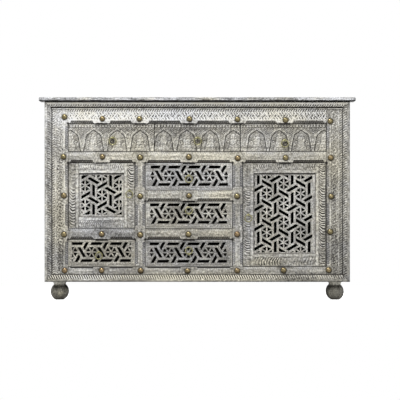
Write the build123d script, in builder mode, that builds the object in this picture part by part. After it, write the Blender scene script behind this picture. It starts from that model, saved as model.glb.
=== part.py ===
from build123d import *

import math
import os
from dataclasses import dataclass

# Carved and pierced sideboard with a mitred moulding, a studded face frame, three
# carved top drawers, four pierced drawers, two pierced doors and four bun feet.
# Millimetres, +Z up, front towards -Y, origin on the floor under the middle.

# Overall
WIDTH = 1400
DEPTH = 430
HEIGHT = 895
TOP_THICKNESS = 18
TOP_EDGE_FILLET = 6
SIDE_OVERHANG = 25
FRONT_OVERHANG = 22
BACK_OVERHANG = 10

# Bun feet and the corner blocks that take their spigots
FOOT_HEIGHT = 79
FOOT_INSET = 65
FOOT_BALL_RADIUS = 39
FOOT_PAD_RADIUS = 16
FOOT_NECK_RADIUS = 25
FOOT_COLLAR_RADIUS = 30
SPIGOT_RADIUS = 10
SPIGOT_LENGTH = 30
SPIGOT_GAP = 0.2
FOOT_BLOCK = 90

# Case boards
SIDE_THICKNESS = 20
SIDE_STILE = 64
SIDE_RAIL = 84
FIELD_THICKNESS = 10
GROOVE_DEPTH = 6
GROOVE_GAP = 0.5
BOARD_THICKNESS = 20
BACK_THICKNESS = 8
PARTITION_THICKNESS = 16

# Moulding and face frame
MOULDING_WIDTH = 34
MOULDING_PROUD = 10
MOULDING_ROUND = 9
MOULDING_STEP = 5
FRAME_THICKNESS = 26
OUTER_STILE = 70
MID_STILE = 46
LEFT_STILE_X = -252.5
RIGHT_STILE_X = 178.5
TOP_RAIL = 64.5
CROSS_RAIL = 50
BOTTOM_RAIL = 33
UPPER_RAIL_Z = 630
MIDDLE_RAIL_Z = 460
LOWER_RAIL_Z = 291
TENON_LENGTH = 17
TENON_THICKNESS = 8
TENON_SHOULDER = 8
TENON_GAP = 0.2
CHAMFER_WIDTH = 14
CHAMFER_DEPTH = 10
CHAMFER_STOP = 12
BUMP_WIDTH = 54

# Brass dome studs
STUD_RADIUS = 13.75
STUD_RISE = 8
STUD_SHANK_RADIUS = 2
STUD_SHANK_LENGTH = 7
STUD_SIDE_INSET = 16
STUD_TOP_RISE = 20.5
STUD_BOTTOM_RISE = 16

# How far each hand-set stud stands off its column and row, from left to right
TOP_STUD_SHIFTS = ((0, 9), (4, 1), (-2.5, 0), (3, 0), (0, -1.5), (4.5, -5), (1.5, -10))
UPPER_STUD_SHIFTS = ((-5, 1.5), (3.5, 1.5), (0.5, -1), (0, 1), (1, -5), (4.5, -2.5), (3.5, -2.5))
MIDDLE_STUD_SHIFTS = ((-2.5, 0), (0.5, -2.5), (1, -1), (-2.5, -2.5), (5, -3.5))
LOWER_STUD_SHIFTS = ((-2.5, -2.5), (1, -1), (0.5, -4.5), (-2, -1.5), (-2, -1.5), (1, 9))
BOTTOM_STUD_SHIFTS = ((1.5, 0), (1, 0), (2.5, -1), (-6, -1.5), (-2, -0.5), (-4.5, 1), (-6, 2.5))

# Drawers and doors
FRONT_INSET = 11
FRONT_THICKNESS = 18
FRONT_GAP = 1.5
FRONT_FILLET = 2
BOX_SIDE = 12
BOX_BOTTOM = 6
BOX_BOTTOM_RISE = 6
BOX_SIDE_GAP = 3
BOX_BACK_ROOM = 23
BOX_HEADROOM = 20
RUN_GAP = 0.5
STRIP_HEIGHT = 16
RUNNER_BEARING = 12
GUIDE_THICKNESS = 20
STOP_HEIGHT = 40
STOP_THICKNESS = 16
STOP_LAP = 10
STOP_DROP = 6
DOOR_STILE = 47
DOOR_TOP_RAIL = 45
LEFT_DOOR_BOTTOM_RAIL = 49
RIGHT_DOOR_BOTTOM_RAIL = 57
PANEL_THICKNESS = 10
PANEL_RECESS = 5
PIN_RADIUS = 3
PIN_DEPTH = 12
PIN_RUN_GAP = 0.05
HINGE_EDGE_LAND = 0.05
PIN_END_GAP = 1

# Pierced star-and-bar pattern, as shares of its own pitch
DOOR_PITCH = 86.5
CENTRE_PITCH = 89
STAR_REACH = 0.262
SPOKE = 0.064
BAR_LENGTH = 0.58
BAR_WIDTH = 0.145
BAR_LEAST_SHOWN = 0.9
LATTICE_TURN = 60
STAR_POINTS = 6

# Plain margins round the pierced fields, and how far each hand-cut field and its
# lattice stand off the middle of their board
CENTRE_FIELD_MARGIN = 21.5
CENTRE_FIELD_HEIGHT = 92
LEFT_FIELD_MARGIN = 17
LEFT_FIELD_HEIGHT = 87.5
LEFT_DOOR_MARGIN = (10, 8.5)
RIGHT_DOOR_MARGIN = (8.25, 6.5)
CENTRE_FIELD_SHIFTS = ((2, 3), (-1.5, 5.5), (-2.5, 2.5))
LEFT_DRAWER_FIELD_SHIFT = (-0.8, 4.7)
LEFT_DOOR_FIELD_SHIFT = (0, 1)
RIGHT_DOOR_FIELD_SHIFT = (-6, -1.2)
LEFT_DOOR_LATTICE = (2.5, -2)
RIGHT_DOOR_LATTICE = (2, 3.2)

# Ring pulls
RING_RADIUS = 15.25
RING_WIRE = 2.25
RING_FACE_GAP = 0.3
EYE_RADIUS = 4.6
EYE_WIRE = 1.5
EYE_REACH = 7
EYE_TAIL = 4
ROSE_RADIUS = 6
ROSE_THICKNESS = 1.2
TOP_PULL_SHIFTS = ((6.5, 0), (2, 0), (7, -11))
CENTRE_PULL_RISES = (4, 4, -4)
LEFT_DRAWER_PULL_SHIFT = (-12, 4)
LEFT_DOOR_PULL_RISE = 21

# Derived places
CASE_X = WIDTH / 2 - SIDE_OVERHANG
CASE_FRONT = -DEPTH / 2 + FRONT_OVERHANG
CASE_BACK = DEPTH / 2 - BACK_OVERHANG
CASE_BOTTOM = FOOT_HEIGHT
CASE_TOP = HEIGHT - TOP_THICKNESS
INNER_X = CASE_X - SIDE_THICKNESS
INNER_BACK = CASE_BACK - BACK_THICKNESS
FRAME_FACE = CASE_FRONT + MOULDING_PROUD
FRAME_BACK = FRAME_FACE + FRAME_THICKNESS
FRAME_X = CASE_X - MOULDING_WIDTH
FRAME_BOTTOM = CASE_BOTTOM + MOULDING_WIDTH
FRAME_TOP = CASE_TOP - MOULDING_WIDTH
FRONT_FACE = FRAME_FACE + FRONT_INSET
FRONT_BACK = FRONT_FACE + FRONT_THICKNESS
BOTTOM_EDGE = FRAME_BOTTOM + BOTTOM_RAIL
TOP_EDGE = FRAME_TOP - TOP_RAIL
SIDE_EDGE = FRAME_X - OUTER_STILE
CASE_Y = (FRAME_BACK, INNER_BACK)


def around(centre, size):
    """Lower and upper limit of a size centred on a place."""
    return (centre - size / 2, centre + size / 2)


def middle(limits):
    """Middle of a pair of limits."""
    return (limits[0] + limits[1]) / 2


def shrink(limits, gap):
    """Limits moved in by a gap at both ends."""
    return (limits[0] + gap, limits[1] - gap)


LOWER_RAIL = around(LOWER_RAIL_Z, CROSS_RAIL)
MIDDLE_RAIL = around(MIDDLE_RAIL_Z, CROSS_RAIL)
UPPER_RAIL = around(UPPER_RAIL_Z, CROSS_RAIL)
LEFT_STILE = around(LEFT_STILE_X, MID_STILE)
RIGHT_STILE = around(RIGHT_STILE_X, MID_STILE)
LEFT_BAY = (-SIDE_EDGE, LEFT_STILE[0])
CENTRE_BAY = (LEFT_STILE[1], RIGHT_STILE[0])
RIGHT_BAY = (RIGHT_STILE[1], SIDE_EDGE)
FULL_BAY = (-SIDE_EDGE, SIDE_EDGE)
TOP_DRAWER_WIDTH = 2 * SIDE_EDGE / 3


@dataclass
class Opening:
    """A rectangle in the face frame that a drawer or door closes."""

    x: tuple
    z: tuple


TOP_OPENING = Opening(FULL_BAY, (UPPER_RAIL[1], TOP_EDGE))
LEFT_DOOR_OPENING = Opening(LEFT_BAY, (LOWER_RAIL[1], UPPER_RAIL[0]))
LEFT_DRAWER_OPENING = Opening(LEFT_BAY, (BOTTOM_EDGE, LOWER_RAIL[0]))
CENTRE_OPENINGS = (
    Opening(CENTRE_BAY, (MIDDLE_RAIL[1], UPPER_RAIL[0])),
    Opening(CENTRE_BAY, (LOWER_RAIL[1], MIDDLE_RAIL[0])),
    Opening(CENTRE_BAY, (BOTTOM_EDGE, LOWER_RAIL[0])),
)
RIGHT_DOOR_OPENING = Opening(RIGHT_BAY, (BOTTOM_EDGE, UPPER_RAIL[0]))
OPENINGS = (TOP_OPENING, LEFT_DOOR_OPENING, LEFT_DRAWER_OPENING, *CENTRE_OPENINGS, RIGHT_DOOR_OPENING)

os.makedirs("parts", exist_ok=True)


def write(part, name):
    """Labels a finished piece and writes its STEP file."""
    part.label = name
    export_step(part, f"parts/{name}.step")


def board(x, y, z, mode=Mode.ADD):
    """A box between limits on each axis, in the part being built."""
    with Locations((middle(x), middle(y), middle(z))):
        Box(x[1] - x[0], y[1] - y[0], z[1] - z[0], mode=mode)


# ---------------------------------------------------------------- top board
with BuildPart() as top_board:
    board((-WIDTH / 2, WIDTH / 2), (-DEPTH / 2, DEPTH / 2), (CASE_TOP, HEIGHT))
    fillet(top_board.faces().sort_by(Axis.Z)[-1].edges(), TOP_EDGE_FILLET)
    fillet(top_board.faces().sort_by(Axis.Z)[0].edges(), TOP_EDGE_FILLET)
write(top_board.part, "top_board")

# ---------------------------------------------------------------- case
FIELD_X = around(CASE_X - SIDE_THICKNESS / 2, FIELD_THICKNESS)
FIELD_HOLE_Y = shrink((FRAME_BACK, CASE_BACK), SIDE_STILE)
FIELD_HOLE_Z = shrink((CASE_BOTTOM, CASE_TOP), SIDE_RAIL)
GROOVE_Y = shrink(FIELD_HOLE_Y, -GROOVE_DEPTH)
GROOVE_Z = shrink(FIELD_HOLE_Z, -GROOVE_DEPTH)


def mirrored(limits, side):
    """Limits on the side given by its sign."""
    return limits if side > 0 else (-limits[1], -limits[0])


with BuildPart() as side_stiles:
    for side in (-1, 1):
        for y in ((FRAME_BACK, FIELD_HOLE_Y[0]), (FIELD_HOLE_Y[1], CASE_BACK)):
            board(mirrored((INNER_X, CASE_X), side), y, (CASE_BOTTOM, CASE_TOP))
        board(mirrored(FIELD_X, side), GROOVE_Y, GROOVE_Z, mode=Mode.SUBTRACT)

with BuildPart() as side_rails:
    for side in (-1, 1):
        for z in ((CASE_BOTTOM, FIELD_HOLE_Z[0]), (FIELD_HOLE_Z[1], CASE_TOP)):
            board(mirrored((INNER_X, CASE_X), side), FIELD_HOLE_Y, z)
        board(mirrored(FIELD_X, side), GROOVE_Y, GROOVE_Z, mode=Mode.SUBTRACT)

side_frames = Compound(children=[*side_stiles.solids(), *side_rails.solids()])
write(side_frames, "side_frames")

with BuildPart() as side_field_panels:
    for side in (-1, 1):
        board(mirrored(FIELD_X, side), shrink(GROOVE_Y, GROOVE_GAP), shrink(GROOVE_Z, GROOVE_GAP))
write(side_field_panels.part, "side_field_panels")

BOTTOM_BOARD_Z = (BOTTOM_EDGE - BOARD_THICKNESS, BOTTOM_EDGE)
DUST_BOARD_Z = (UPPER_RAIL[1] - BOARD_THICKNESS, UPPER_RAIL[1])
FLOOR_Z = (LOWER_RAIL[1] - BOARD_THICKNESS, LOWER_RAIL[1])
LEFT_DIVIDER_X = around(LEFT_STILE_X, BOARD_THICKNESS)
RIGHT_DIVIDER_X = around(RIGHT_STILE_X, BOARD_THICKNESS)
PARTITION_Y = (FRONT_BACK + FRONT_GAP, INNER_BACK)

with BuildPart() as bottom_board:
    board((-INNER_X, INNER_X), CASE_Y, BOTTOM_BOARD_Z)
write(bottom_board.part, "bottom_board")

with BuildPart() as back_panel:
    board((-INNER_X, INNER_X), (INNER_BACK, CASE_BACK), (CASE_BOTTOM, CASE_TOP))
write(back_panel.part, "back_panel")

with BuildPart() as dividers:
    for divider_x in (LEFT_DIVIDER_X, RIGHT_DIVIDER_X):
        board(divider_x, CASE_Y, (BOTTOM_BOARD_Z[1], DUST_BOARD_Z[0]))
write(dividers.part, "dividers")

with BuildPart() as dust_board:
    board((-INNER_X, INNER_X), CASE_Y, DUST_BOARD_Z)
write(dust_board.part, "dust_board")

with BuildPart() as left_cupboard_floor:
    board((-INNER_X, LEFT_DIVIDER_X[0]), CASE_Y, FLOOR_Z)
write(left_cupboard_floor.part, "left_cupboard_floor")

with BuildPart() as top_partitions:
    for side in (-1, 1):
        partition_x = around(side * TOP_DRAWER_WIDTH / 2, PARTITION_THICKNESS)
        board(partition_x, PARTITION_Y, (DUST_BOARD_Z[1], CASE_TOP))
write(top_partitions.part, "top_partitions")

# Strips inside the case: runners under the two upper centre drawers, guides beside
# the drawers that slide on a board, and a stop block behind each door's free edge.
CENTRE_GUIDES = ((LEFT_DIVIDER_X[1], CENTRE_BAY[0]), (CENTRE_BAY[1], RIGHT_DIVIDER_X[0]))
OUTER_GUIDE = (-SIDE_EDGE - GUIDE_THICKNESS, -SIDE_EDGE)
STOP_Y = (FRONT_BACK + RUN_GAP, FRONT_BACK + RUN_GAP + STOP_THICKNESS)
STOP_Z = (UPPER_RAIL[0] - STOP_DROP - STOP_HEIGHT, UPPER_RAIL[0] - STOP_DROP)

with BuildPart() as runner_and_stop_strips:
    for opening in CENTRE_OPENINGS[:2]:
        runner_z = (opening.z[0] - STRIP_HEIGHT, opening.z[0])
        board((CENTRE_GUIDES[0][0], CENTRE_BAY[0] + RUNNER_BEARING), CASE_Y, runner_z)
        board((CENTRE_BAY[1] - RUNNER_BEARING, CENTRE_GUIDES[1][1]), CASE_Y, runner_z)
    guide_z = (BOTTOM_BOARD_Z[1], BOTTOM_BOARD_Z[1] + STRIP_HEIGHT)
    for guide_x in (*CENTRE_GUIDES, OUTER_GUIDE, (LEFT_BAY[1], LEFT_DIVIDER_X[0])):
        board(guide_x, CASE_Y, guide_z)
    top_guide_z = (DUST_BOARD_Z[1], DUST_BOARD_Z[1] + STRIP_HEIGHT)
    for guide_x in (OUTER_GUIDE, mirrored(OUTER_GUIDE, -1)):
        board(guide_x, CASE_Y, top_guide_z)
    board((LEFT_BAY[1] - FRONT_GAP - STOP_LAP, LEFT_DIVIDER_X[0]), STOP_Y, STOP_Z)
    board((RIGHT_DIVIDER_X[1], RIGHT_BAY[0] + FRONT_GAP + STOP_LAP), STOP_Y, STOP_Z)
write(runner_and_stop_strips.part, "runner_and_stop_strips")

# ---------------------------------------------------------------- feet
FOOT_PLACES = [
    (side * (CASE_X - FOOT_INSET), y)
    for side in (-1, 1)
    for y in (CASE_FRONT + FOOT_INSET, CASE_BACK - FOOT_INSET)
]

with BuildPart() as foot_blocks:
    for side in (-1, 1):
        for y in ((FRAME_BACK, FRAME_BACK + FOOT_BLOCK), (INNER_BACK - FOOT_BLOCK, INNER_BACK)):
            board(mirrored((INNER_X - FOOT_BLOCK, INNER_X), side), y, (CASE_BOTTOM, BOTTOM_BOARD_Z[0]))
    with Locations(*[(x, y, CASE_BOTTOM + SPIGOT_LENGTH / 2) for x, y in FOOT_PLACES]):
        Cylinder(SPIGOT_RADIUS + SPIGOT_GAP, SPIGOT_LENGTH + 2 * SPIGOT_GAP, mode=Mode.SUBTRACT)
write(foot_blocks.part, "foot_blocks")

# The ball is a sphere cut by its pad below and by its neck above.
BALL_MIDDLE = math.sqrt(FOOT_BALL_RADIUS**2 - FOOT_PAD_RADIUS**2)
BALL_TOP = BALL_MIDDLE + math.sqrt(FOOT_BALL_RADIUS**2 - FOOT_NECK_RADIUS**2)

with BuildPart() as bun_foot:
    with BuildSketch(Plane.XZ):
        with BuildLine():
            base = Line((0, 0), (FOOT_PAD_RADIUS, 0))
            ball = ThreePointArc(
                base @ 1,
                (FOOT_BALL_RADIUS, BALL_MIDDLE),
                (FOOT_NECK_RADIUS, BALL_TOP),
            )
            neck = ThreePointArc(
                ball @ 1,
                (FOOT_NECK_RADIUS, (BALL_TOP + FOOT_HEIGHT) / 2),
                (FOOT_COLLAR_RADIUS, FOOT_HEIGHT),
            )
            Polyline(
                neck @ 1,
                (SPIGOT_RADIUS, FOOT_HEIGHT),
                (SPIGOT_RADIUS, FOOT_HEIGHT + SPIGOT_LENGTH),
                (0, FOOT_HEIGHT + SPIGOT_LENGTH),
                (0, 0),
            )
        make_face()
    revolve(axis=Axis.Z)

with BuildPart() as bun_feet:
    with Locations(*FOOT_PLACES):
        add(bun_foot.part)
write(bun_feet.part, "bun_feet")

# ---------------------------------------------------------------- moulding
FORWARD = Vector(0, -1, 0)


def moulding_strip(outward, reach, length):
    """One mitred strip: outward is its side of the case, reach the case's edge there."""
    along = outward.cross(FORWARD)
    edge = outward * reach
    section = Plane(origin=edge, x_dir=outward, z_dir=along)
    with BuildPart() as strip:
        with BuildSketch(section):
            with BuildLine():
                Polyline(
                    (-MOULDING_ROUND, -CASE_FRONT),
                    (-MOULDING_WIDTH / 2, -CASE_FRONT),
                    (-MOULDING_WIDTH, -CASE_FRONT - MOULDING_STEP),
                    (-MOULDING_WIDTH, -FRAME_BACK),
                    (0, -FRAME_BACK),
                    (0, -CASE_FRONT - MOULDING_ROUND),
                )
                RadiusArc(
                    (0, -CASE_FRONT - MOULDING_ROUND),
                    (-MOULDING_ROUND, -CASE_FRONT),
                    -MOULDING_ROUND,
                )
            make_face()
        extrude(amount=length / 2, both=True)
        for end in (-1, 1):
            corner = edge + along * (end * length / 2)
            split(bisect_by=Plane(origin=corner, z_dir=along * end - outward), keep=Keep.BOTTOM)
    return strip.part


CASE_MIDDLE = Vector(0, 0, (CASE_BOTTOM + CASE_TOP) / 2)
CASE_HALF_HEIGHT = (CASE_TOP - CASE_BOTTOM) / 2
LIFT = Location(CASE_MIDDLE)
moulding_strips = [
    LIFT * moulding_strip(Vector(0, 0, 1), CASE_HALF_HEIGHT, 2 * CASE_X),
    LIFT * moulding_strip(Vector(0, 0, -1), CASE_HALF_HEIGHT, 2 * CASE_X),
    LIFT * moulding_strip(Vector(1, 0, 0), CASE_X, 2 * CASE_HALF_HEIGHT),
    LIFT * moulding_strip(Vector(-1, 0, 0), CASE_X, 2 * CASE_HALF_HEIGHT),
]
face_moulding = Compound(children=[strip.solid() for strip in moulding_strips])
write(face_moulding, "face_moulding")

# ---------------------------------------------------------------- face frame
STUD_TOP_Z = TOP_EDGE + STUD_TOP_RISE
STUD_BOTTOM_Z = FRAME_BOTTOM + STUD_BOTTOM_RISE
STUD_SIDE_X = SIDE_EDGE + STUD_SIDE_INSET
LEFT_MIDDLE = middle(LEFT_BAY)
CENTRE_MIDDLE = middle(CENTRE_BAY)
RIGHT_MIDDLE = middle(RIGHT_BAY)
ALL_COLUMNS = (
    -STUD_SIDE_X,
    LEFT_MIDDLE,
    LEFT_STILE_X,
    CENTRE_MIDDLE,
    RIGHT_STILE_X,
    RIGHT_MIDDLE,
    STUD_SIDE_X,
)
STUD_ROWS = {
    STUD_TOP_Z: ALL_COLUMNS,
    UPPER_RAIL_Z: ALL_COLUMNS,
    MIDDLE_RAIL_Z: [x for x in ALL_COLUMNS if x not in (LEFT_MIDDLE, RIGHT_MIDDLE)],
    LOWER_RAIL_Z: [x for x in ALL_COLUMNS if x != RIGHT_MIDDLE],
    STUD_BOTTOM_Z: ALL_COLUMNS,
}
STUD_PLACES = [(x, z) for z, columns in STUD_ROWS.items() for x in columns]
STUD_SHIFTS = (
    *TOP_STUD_SHIFTS,
    *UPPER_STUD_SHIFTS,
    *MIDDLE_STUD_SHIFTS,
    *LOWER_STUD_SHIFTS,
    *BOTTOM_STUD_SHIFTS,
)
SET_STUDS = [(x + dx, z + dz) for (x, z), (dx, dz) in zip(STUD_PLACES, STUD_SHIFTS, strict=True)]


@dataclass
class Member:
    """A stile or rail of the face frame; tenons says which axis its tenons run along."""

    name: str
    x: tuple
    z: tuple
    tenons: str

    def holds(self, x, z):
        """True where a point of the face lies on this member."""
        return self.x[0] < x < self.x[1] and self.z[0] < z < self.z[1]

    def tenon_limits(self, gap):
        """X and Z limits of its tenons, grown all round by a gap."""
        if self.tenons == "x":
            z = shrink(self.z, TENON_SHOULDER - gap)
            reach = TENON_LENGTH + gap
            return [((self.x[0] - reach, self.x[0]), z), ((self.x[1], self.x[1] + reach), z)]
        if self.tenons == "z":
            x = shrink(self.x, TENON_SHOULDER - gap)
            reach = TENON_LENGTH + gap
            return [(x, (self.z[0] - reach, self.z[0])), (x, (self.z[1], self.z[1] + reach))]
        return []


MID_STILE_Z = (BOTTOM_EDGE, UPPER_RAIL[0])
MEMBERS = [
    Member("frame_stile_left", (-FRAME_X, -SIDE_EDGE), (FRAME_BOTTOM, FRAME_TOP), "none"),
    Member("frame_stile_right", (SIDE_EDGE, FRAME_X), (FRAME_BOTTOM, FRAME_TOP), "none"),
    Member("frame_stile_mid_left", LEFT_STILE, MID_STILE_Z, "z"),
    Member("frame_stile_mid_right", RIGHT_STILE, MID_STILE_Z, "z"),
    Member("frame_rail_top", FULL_BAY, (TOP_EDGE, FRAME_TOP), "x"),
    Member("frame_rail_upper", FULL_BAY, UPPER_RAIL, "x"),
    Member("frame_rail_bottom", FULL_BAY, (FRAME_BOTTOM, BOTTOM_EDGE), "x"),
    Member("frame_rail_left", LEFT_BAY, LOWER_RAIL, "x"),
    Member("frame_rail_centre_upper", CENTRE_BAY, MIDDLE_RAIL, "x"),
    Member("frame_rail_centre_lower", CENTRE_BAY, LOWER_RAIL, "x"),
]
TENON_Y = around((FRAME_FACE + FRAME_BACK) / 2, TENON_THICKNESS)


def chamfer_runs(limits, studs):
    """Stretches of an opening's edge that its chamfer takes, between the stud bumps."""
    ends = [limits[0]]
    for stud in sorted(studs):
        ends += around(stud, BUMP_WIDTH)
    ends.append(limits[1])
    return list(zip(ends[0::2], ends[1::2]))


def opening_chamfers(opening):
    """Every chamfer run round one opening: middle, outward direction and length."""
    cuts = []
    for side, z in ((-1, opening.z[0]), (1, opening.z[1])):
        studs = [sx for sx, sz in STUD_PLACES if 0 < side * (sz - z) < CROSS_RAIL]
        studs = {sx for sx in studs if opening.x[0] < sx < opening.x[1]}
        for run in chamfer_runs(opening.x, studs):
            cuts.append(((middle(run), z), (0, side), run[1] - run[0]))
    for side, x in ((-1, opening.x[0]), (1, opening.x[1])):
        studs = [sz for sx, sz in STUD_PLACES if 0 < side * (sx - x) < MID_STILE]
        studs = {sz for sz in studs if opening.z[0] < sz < opening.z[1]}
        for run in chamfer_runs(opening.z, studs):
            cuts.append(((x, middle(run)), (side, 0), run[1] - run[0]))
    return cuts


CHAMFERS = [cut for opening in OPENINGS for cut in opening_chamfers(opening)]


def cut_chamfer(place, outward, length):
    """Cuts one stopped chamfer: full length at the opening's edge, shorter at the face."""
    away = Vector(outward[0], 0, outward[1])
    along = away.cross(Vector(0, 1, 0))
    start = Vector(place[0], FRAME_FACE, place[1]) - along * (length / 2)
    with Locations(Plane(origin=start, x_dir=along, z_dir=(0, 1, 0)).location):
        Wedge(
            length,
            CHAMFER_WIDTH,
            CHAMFER_DEPTH,
            CHAMFER_STOP,
            0,
            length - CHAMFER_STOP,
            0,
            align=(Align.MIN, Align.MIN, Align.MIN),
            mode=Mode.SUBTRACT,
        )


# Door pivots: the hinge edge is a half round about the pin, so it turns in its gap.
PIVOT_Y = (FRONT_FACE + FRONT_BACK) / 2
PIVOT_INSET = FRONT_GAP + FRONT_THICKNESS / 2
LEFT_PIVOT_X = LEFT_BAY[0] + PIVOT_INSET
RIGHT_PIVOT_X = RIGHT_BAY[1] - PIVOT_INSET
PIN_ENDS = [
    (LEFT_PIVOT_X, LEFT_DOOR_OPENING.z),
    (RIGHT_PIVOT_X, RIGHT_DOOR_OPENING.z),
]


def cut_pin_bores(radius, inset):
    """Bores holes for the door pins, in the frame at inset 0 or in the doors at their gap."""
    outward = 1 if inset == 0 else -1
    for x, z in PIN_ENDS:
        for edge, side in ((z[0] + inset, -outward), (z[1] - inset, outward)):
            with Locations((x, PIVOT_Y, edge + side * PIN_DEPTH / 2)):
                Cylinder(radius, PIN_DEPTH, mode=Mode.SUBTRACT)


def frame_member(member):
    """A member with its tenons, mortises, chamfers, stud bores and pin bores."""
    with BuildPart() as piece:
        board(member.x, (FRAME_FACE, FRAME_BACK), member.z)
        for place, outward, length in CHAMFERS:
            if member.holds(place[0] + outward[0], place[1] + outward[1]):
                cut_chamfer(place, outward, length)
        for other in MEMBERS:
            for x, z in other.tenon_limits(TENON_GAP):
                if other is not member and member.holds(middle(x), middle(z)):
                    board(x, shrink(TENON_Y, -TENON_GAP), z, mode=Mode.SUBTRACT)
        for x, z in member.tenon_limits(0):
            board(x, TENON_Y, z)
        bore_y = FRAME_FACE + STUD_SHANK_LENGTH / 2
        stud_places = [(x, bore_y, z) for x, z in SET_STUDS if member.holds(x, z)]
        with Locations(*stud_places):
            Cylinder(STUD_SHANK_RADIUS, STUD_SHANK_LENGTH, rotation=(90, 0, 0), mode=Mode.SUBTRACT)
        if member.tenons == "x":
            cut_pin_bores(PIN_RADIUS, 0)
    return piece.part


members = {member.name: frame_member(member) for member in MEMBERS}
CENTRE_RAILS = ("frame_rail_centre_upper", "frame_rail_centre_lower")
for name, member_part in members.items():
    if name not in CENTRE_RAILS:
        write(member_part, name)
centre_rails = Compound(children=[members[name].solid() for name in CENTRE_RAILS])
write(centre_rails, "frame_rails_centre")

STUD_SPHERE = (STUD_RADIUS**2 + STUD_RISE**2) / (2 * STUD_RISE)
with BuildPart() as stud:
    with BuildSketch():
        with BuildLine():
            dome = RadiusArc((STUD_RADIUS, 0), (0, STUD_RISE), -STUD_SPHERE)
            Polyline(
                dome @ 1,
                (0, -STUD_SHANK_LENGTH),
                (STUD_SHANK_RADIUS, -STUD_SHANK_LENGTH),
                (STUD_SHANK_RADIUS, 0),
                dome @ 0,
            )
        make_face()
    revolve(axis=Axis.Y)
facing_stud = Rot(180, 0, 0) * stud.part

with BuildPart() as frame_studs:
    with Locations(*[(x, FRAME_FACE, z) for x, z in SET_STUDS]):
        add(facing_stud)
write(frame_studs.part, "frame_studs")

with BuildPart() as door_pivot_pins:
    for x, z in PIN_ENDS:
        for edge, inward in ((z[0], 1), (z[1], -1)):
            tip = edge + inward * (FRONT_GAP + PIN_DEPTH - PIN_END_GAP)
            root = edge - inward * PIN_DEPTH
            with Locations((x, PIVOT_Y, (tip + root) / 2)):
                Cylinder(PIN_RADIUS, abs(tip - root))
write(door_pivot_pins.part, "door_pivot_pins")

# ---------------------------------------------------------------- pierced pattern


@dataclass
class Pierced:
    """A field of stars and bars: base turns the lattice, hand mirrors its bars."""

    size: tuple
    pitch: float
    base: float
    hand: int
    phase: tuple

    def star_places(self):
        """Lattice points whose star or bars reach into the field."""
        ways = [math.radians(self.base + turn) for turn in (0, LATTICE_TURN)]
        steps = [(self.pitch * math.cos(way), self.pitch * math.sin(way)) for way in ways]
        count = int(max(self.size) / self.pitch) + 2
        places = []
        for i in range(-count, count + 1):
            for j in range(-count, count + 1):
                x = self.phase[0] + i * steps[0][0] + j * steps[1][0]
                y = self.phase[1] + i * steps[0][1] + j * steps[1][1]
                if self.reaches(x, y, self.pitch):
                    places.append((x, y))
        return places

    def reaches(self, x, y, reach):
        """True where something of this reach about a point enters the field."""
        return abs(x) < self.size[0] / 2 + reach and abs(y) < self.size[1] / 2 + reach

    def holes(self):
        """The sketch of all its holes, clipped to the field."""
        inner = SPOKE * self.pitch
        outer = STAR_REACH * self.pitch
        half_side = (outer - inner) * math.tan(math.radians(LATTICE_TURN / 2))
        half_length = BAR_LENGTH * self.pitch / 2
        half_width = BAR_WIDTH * self.pitch / 2
        slant = self.hand * half_width / math.tan(math.radians(LATTICE_TURN))
        stars = [place for place in self.star_places() if self.reaches(*place, outer)]
        bars = []
        for x, y in self.star_places():
            for turn in (0, LATTICE_TURN, 2 * LATTICE_TURN):
                way = math.radians(self.base + turn)
                bar_x = x + self.pitch / 2 * math.cos(way)
                bar_y = y + self.pitch / 2 * math.sin(way)
                if self.reaches(bar_x, bar_y, BAR_LEAST_SHOWN * half_length):
                    angle = self.base + turn - self.hand * LATTICE_TURN
                    bars.append(Location((bar_x, bar_y, 0), (0, 0, angle)))
        with BuildSketch() as field:
            with Locations(*stars):
                with PolarLocations(0, STAR_POINTS, start_angle=self.base + LATTICE_TURN / 2):
                    Polygon((inner, 0), (outer, half_side), (outer, -half_side), align=None)
            with Locations(*bars):
                Polygon(
                    (half_length + slant, half_width),
                    (-half_length + slant, half_width),
                    (-half_length - slant, -half_width),
                    (half_length - slant, -half_width),
                    align=None,
                )
            Rectangle(*self.size, mode=Mode.INTERSECT)
        return field.sketch


def door_light(opening, bottom_rail):
    """X and Z limits of the hole that a door's stiles and rails leave for its panel."""
    outer_x = shrink(opening.x, FRONT_GAP)
    outer_z = shrink(opening.z, FRONT_GAP)
    return shrink(outer_x, DOOR_STILE), (outer_z[0] + bottom_rail, outer_z[1] - DOOR_TOP_RAIL)


def pierce(pattern, x, z, y):
    """Cuts a pierced field through the part being built, centred at x, z."""
    with BuildSketch(Plane(origin=(x, y, z), x_dir=(1, 0, 0), z_dir=(0, -1, 0))) as field:
        add(pattern)
    extrude(field.sketch, amount=2 * FRONT_THICKNESS, both=True, mode=Mode.SUBTRACT)


def drawer_field(opening, margin, height):
    """Size of the pierced field in a drawer front over an opening."""
    return (opening.x[1] - opening.x[0] - 2 * margin, height)


def door_field(opening, bottom_rail, margin):
    """Size of the pierced field in a door's panel."""
    inner_x, inner_z = door_light(opening, bottom_rail)
    return (inner_x[1] - inner_x[0] - 2 * margin[0], inner_z[1] - inner_z[0] - 2 * margin[1])


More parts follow.
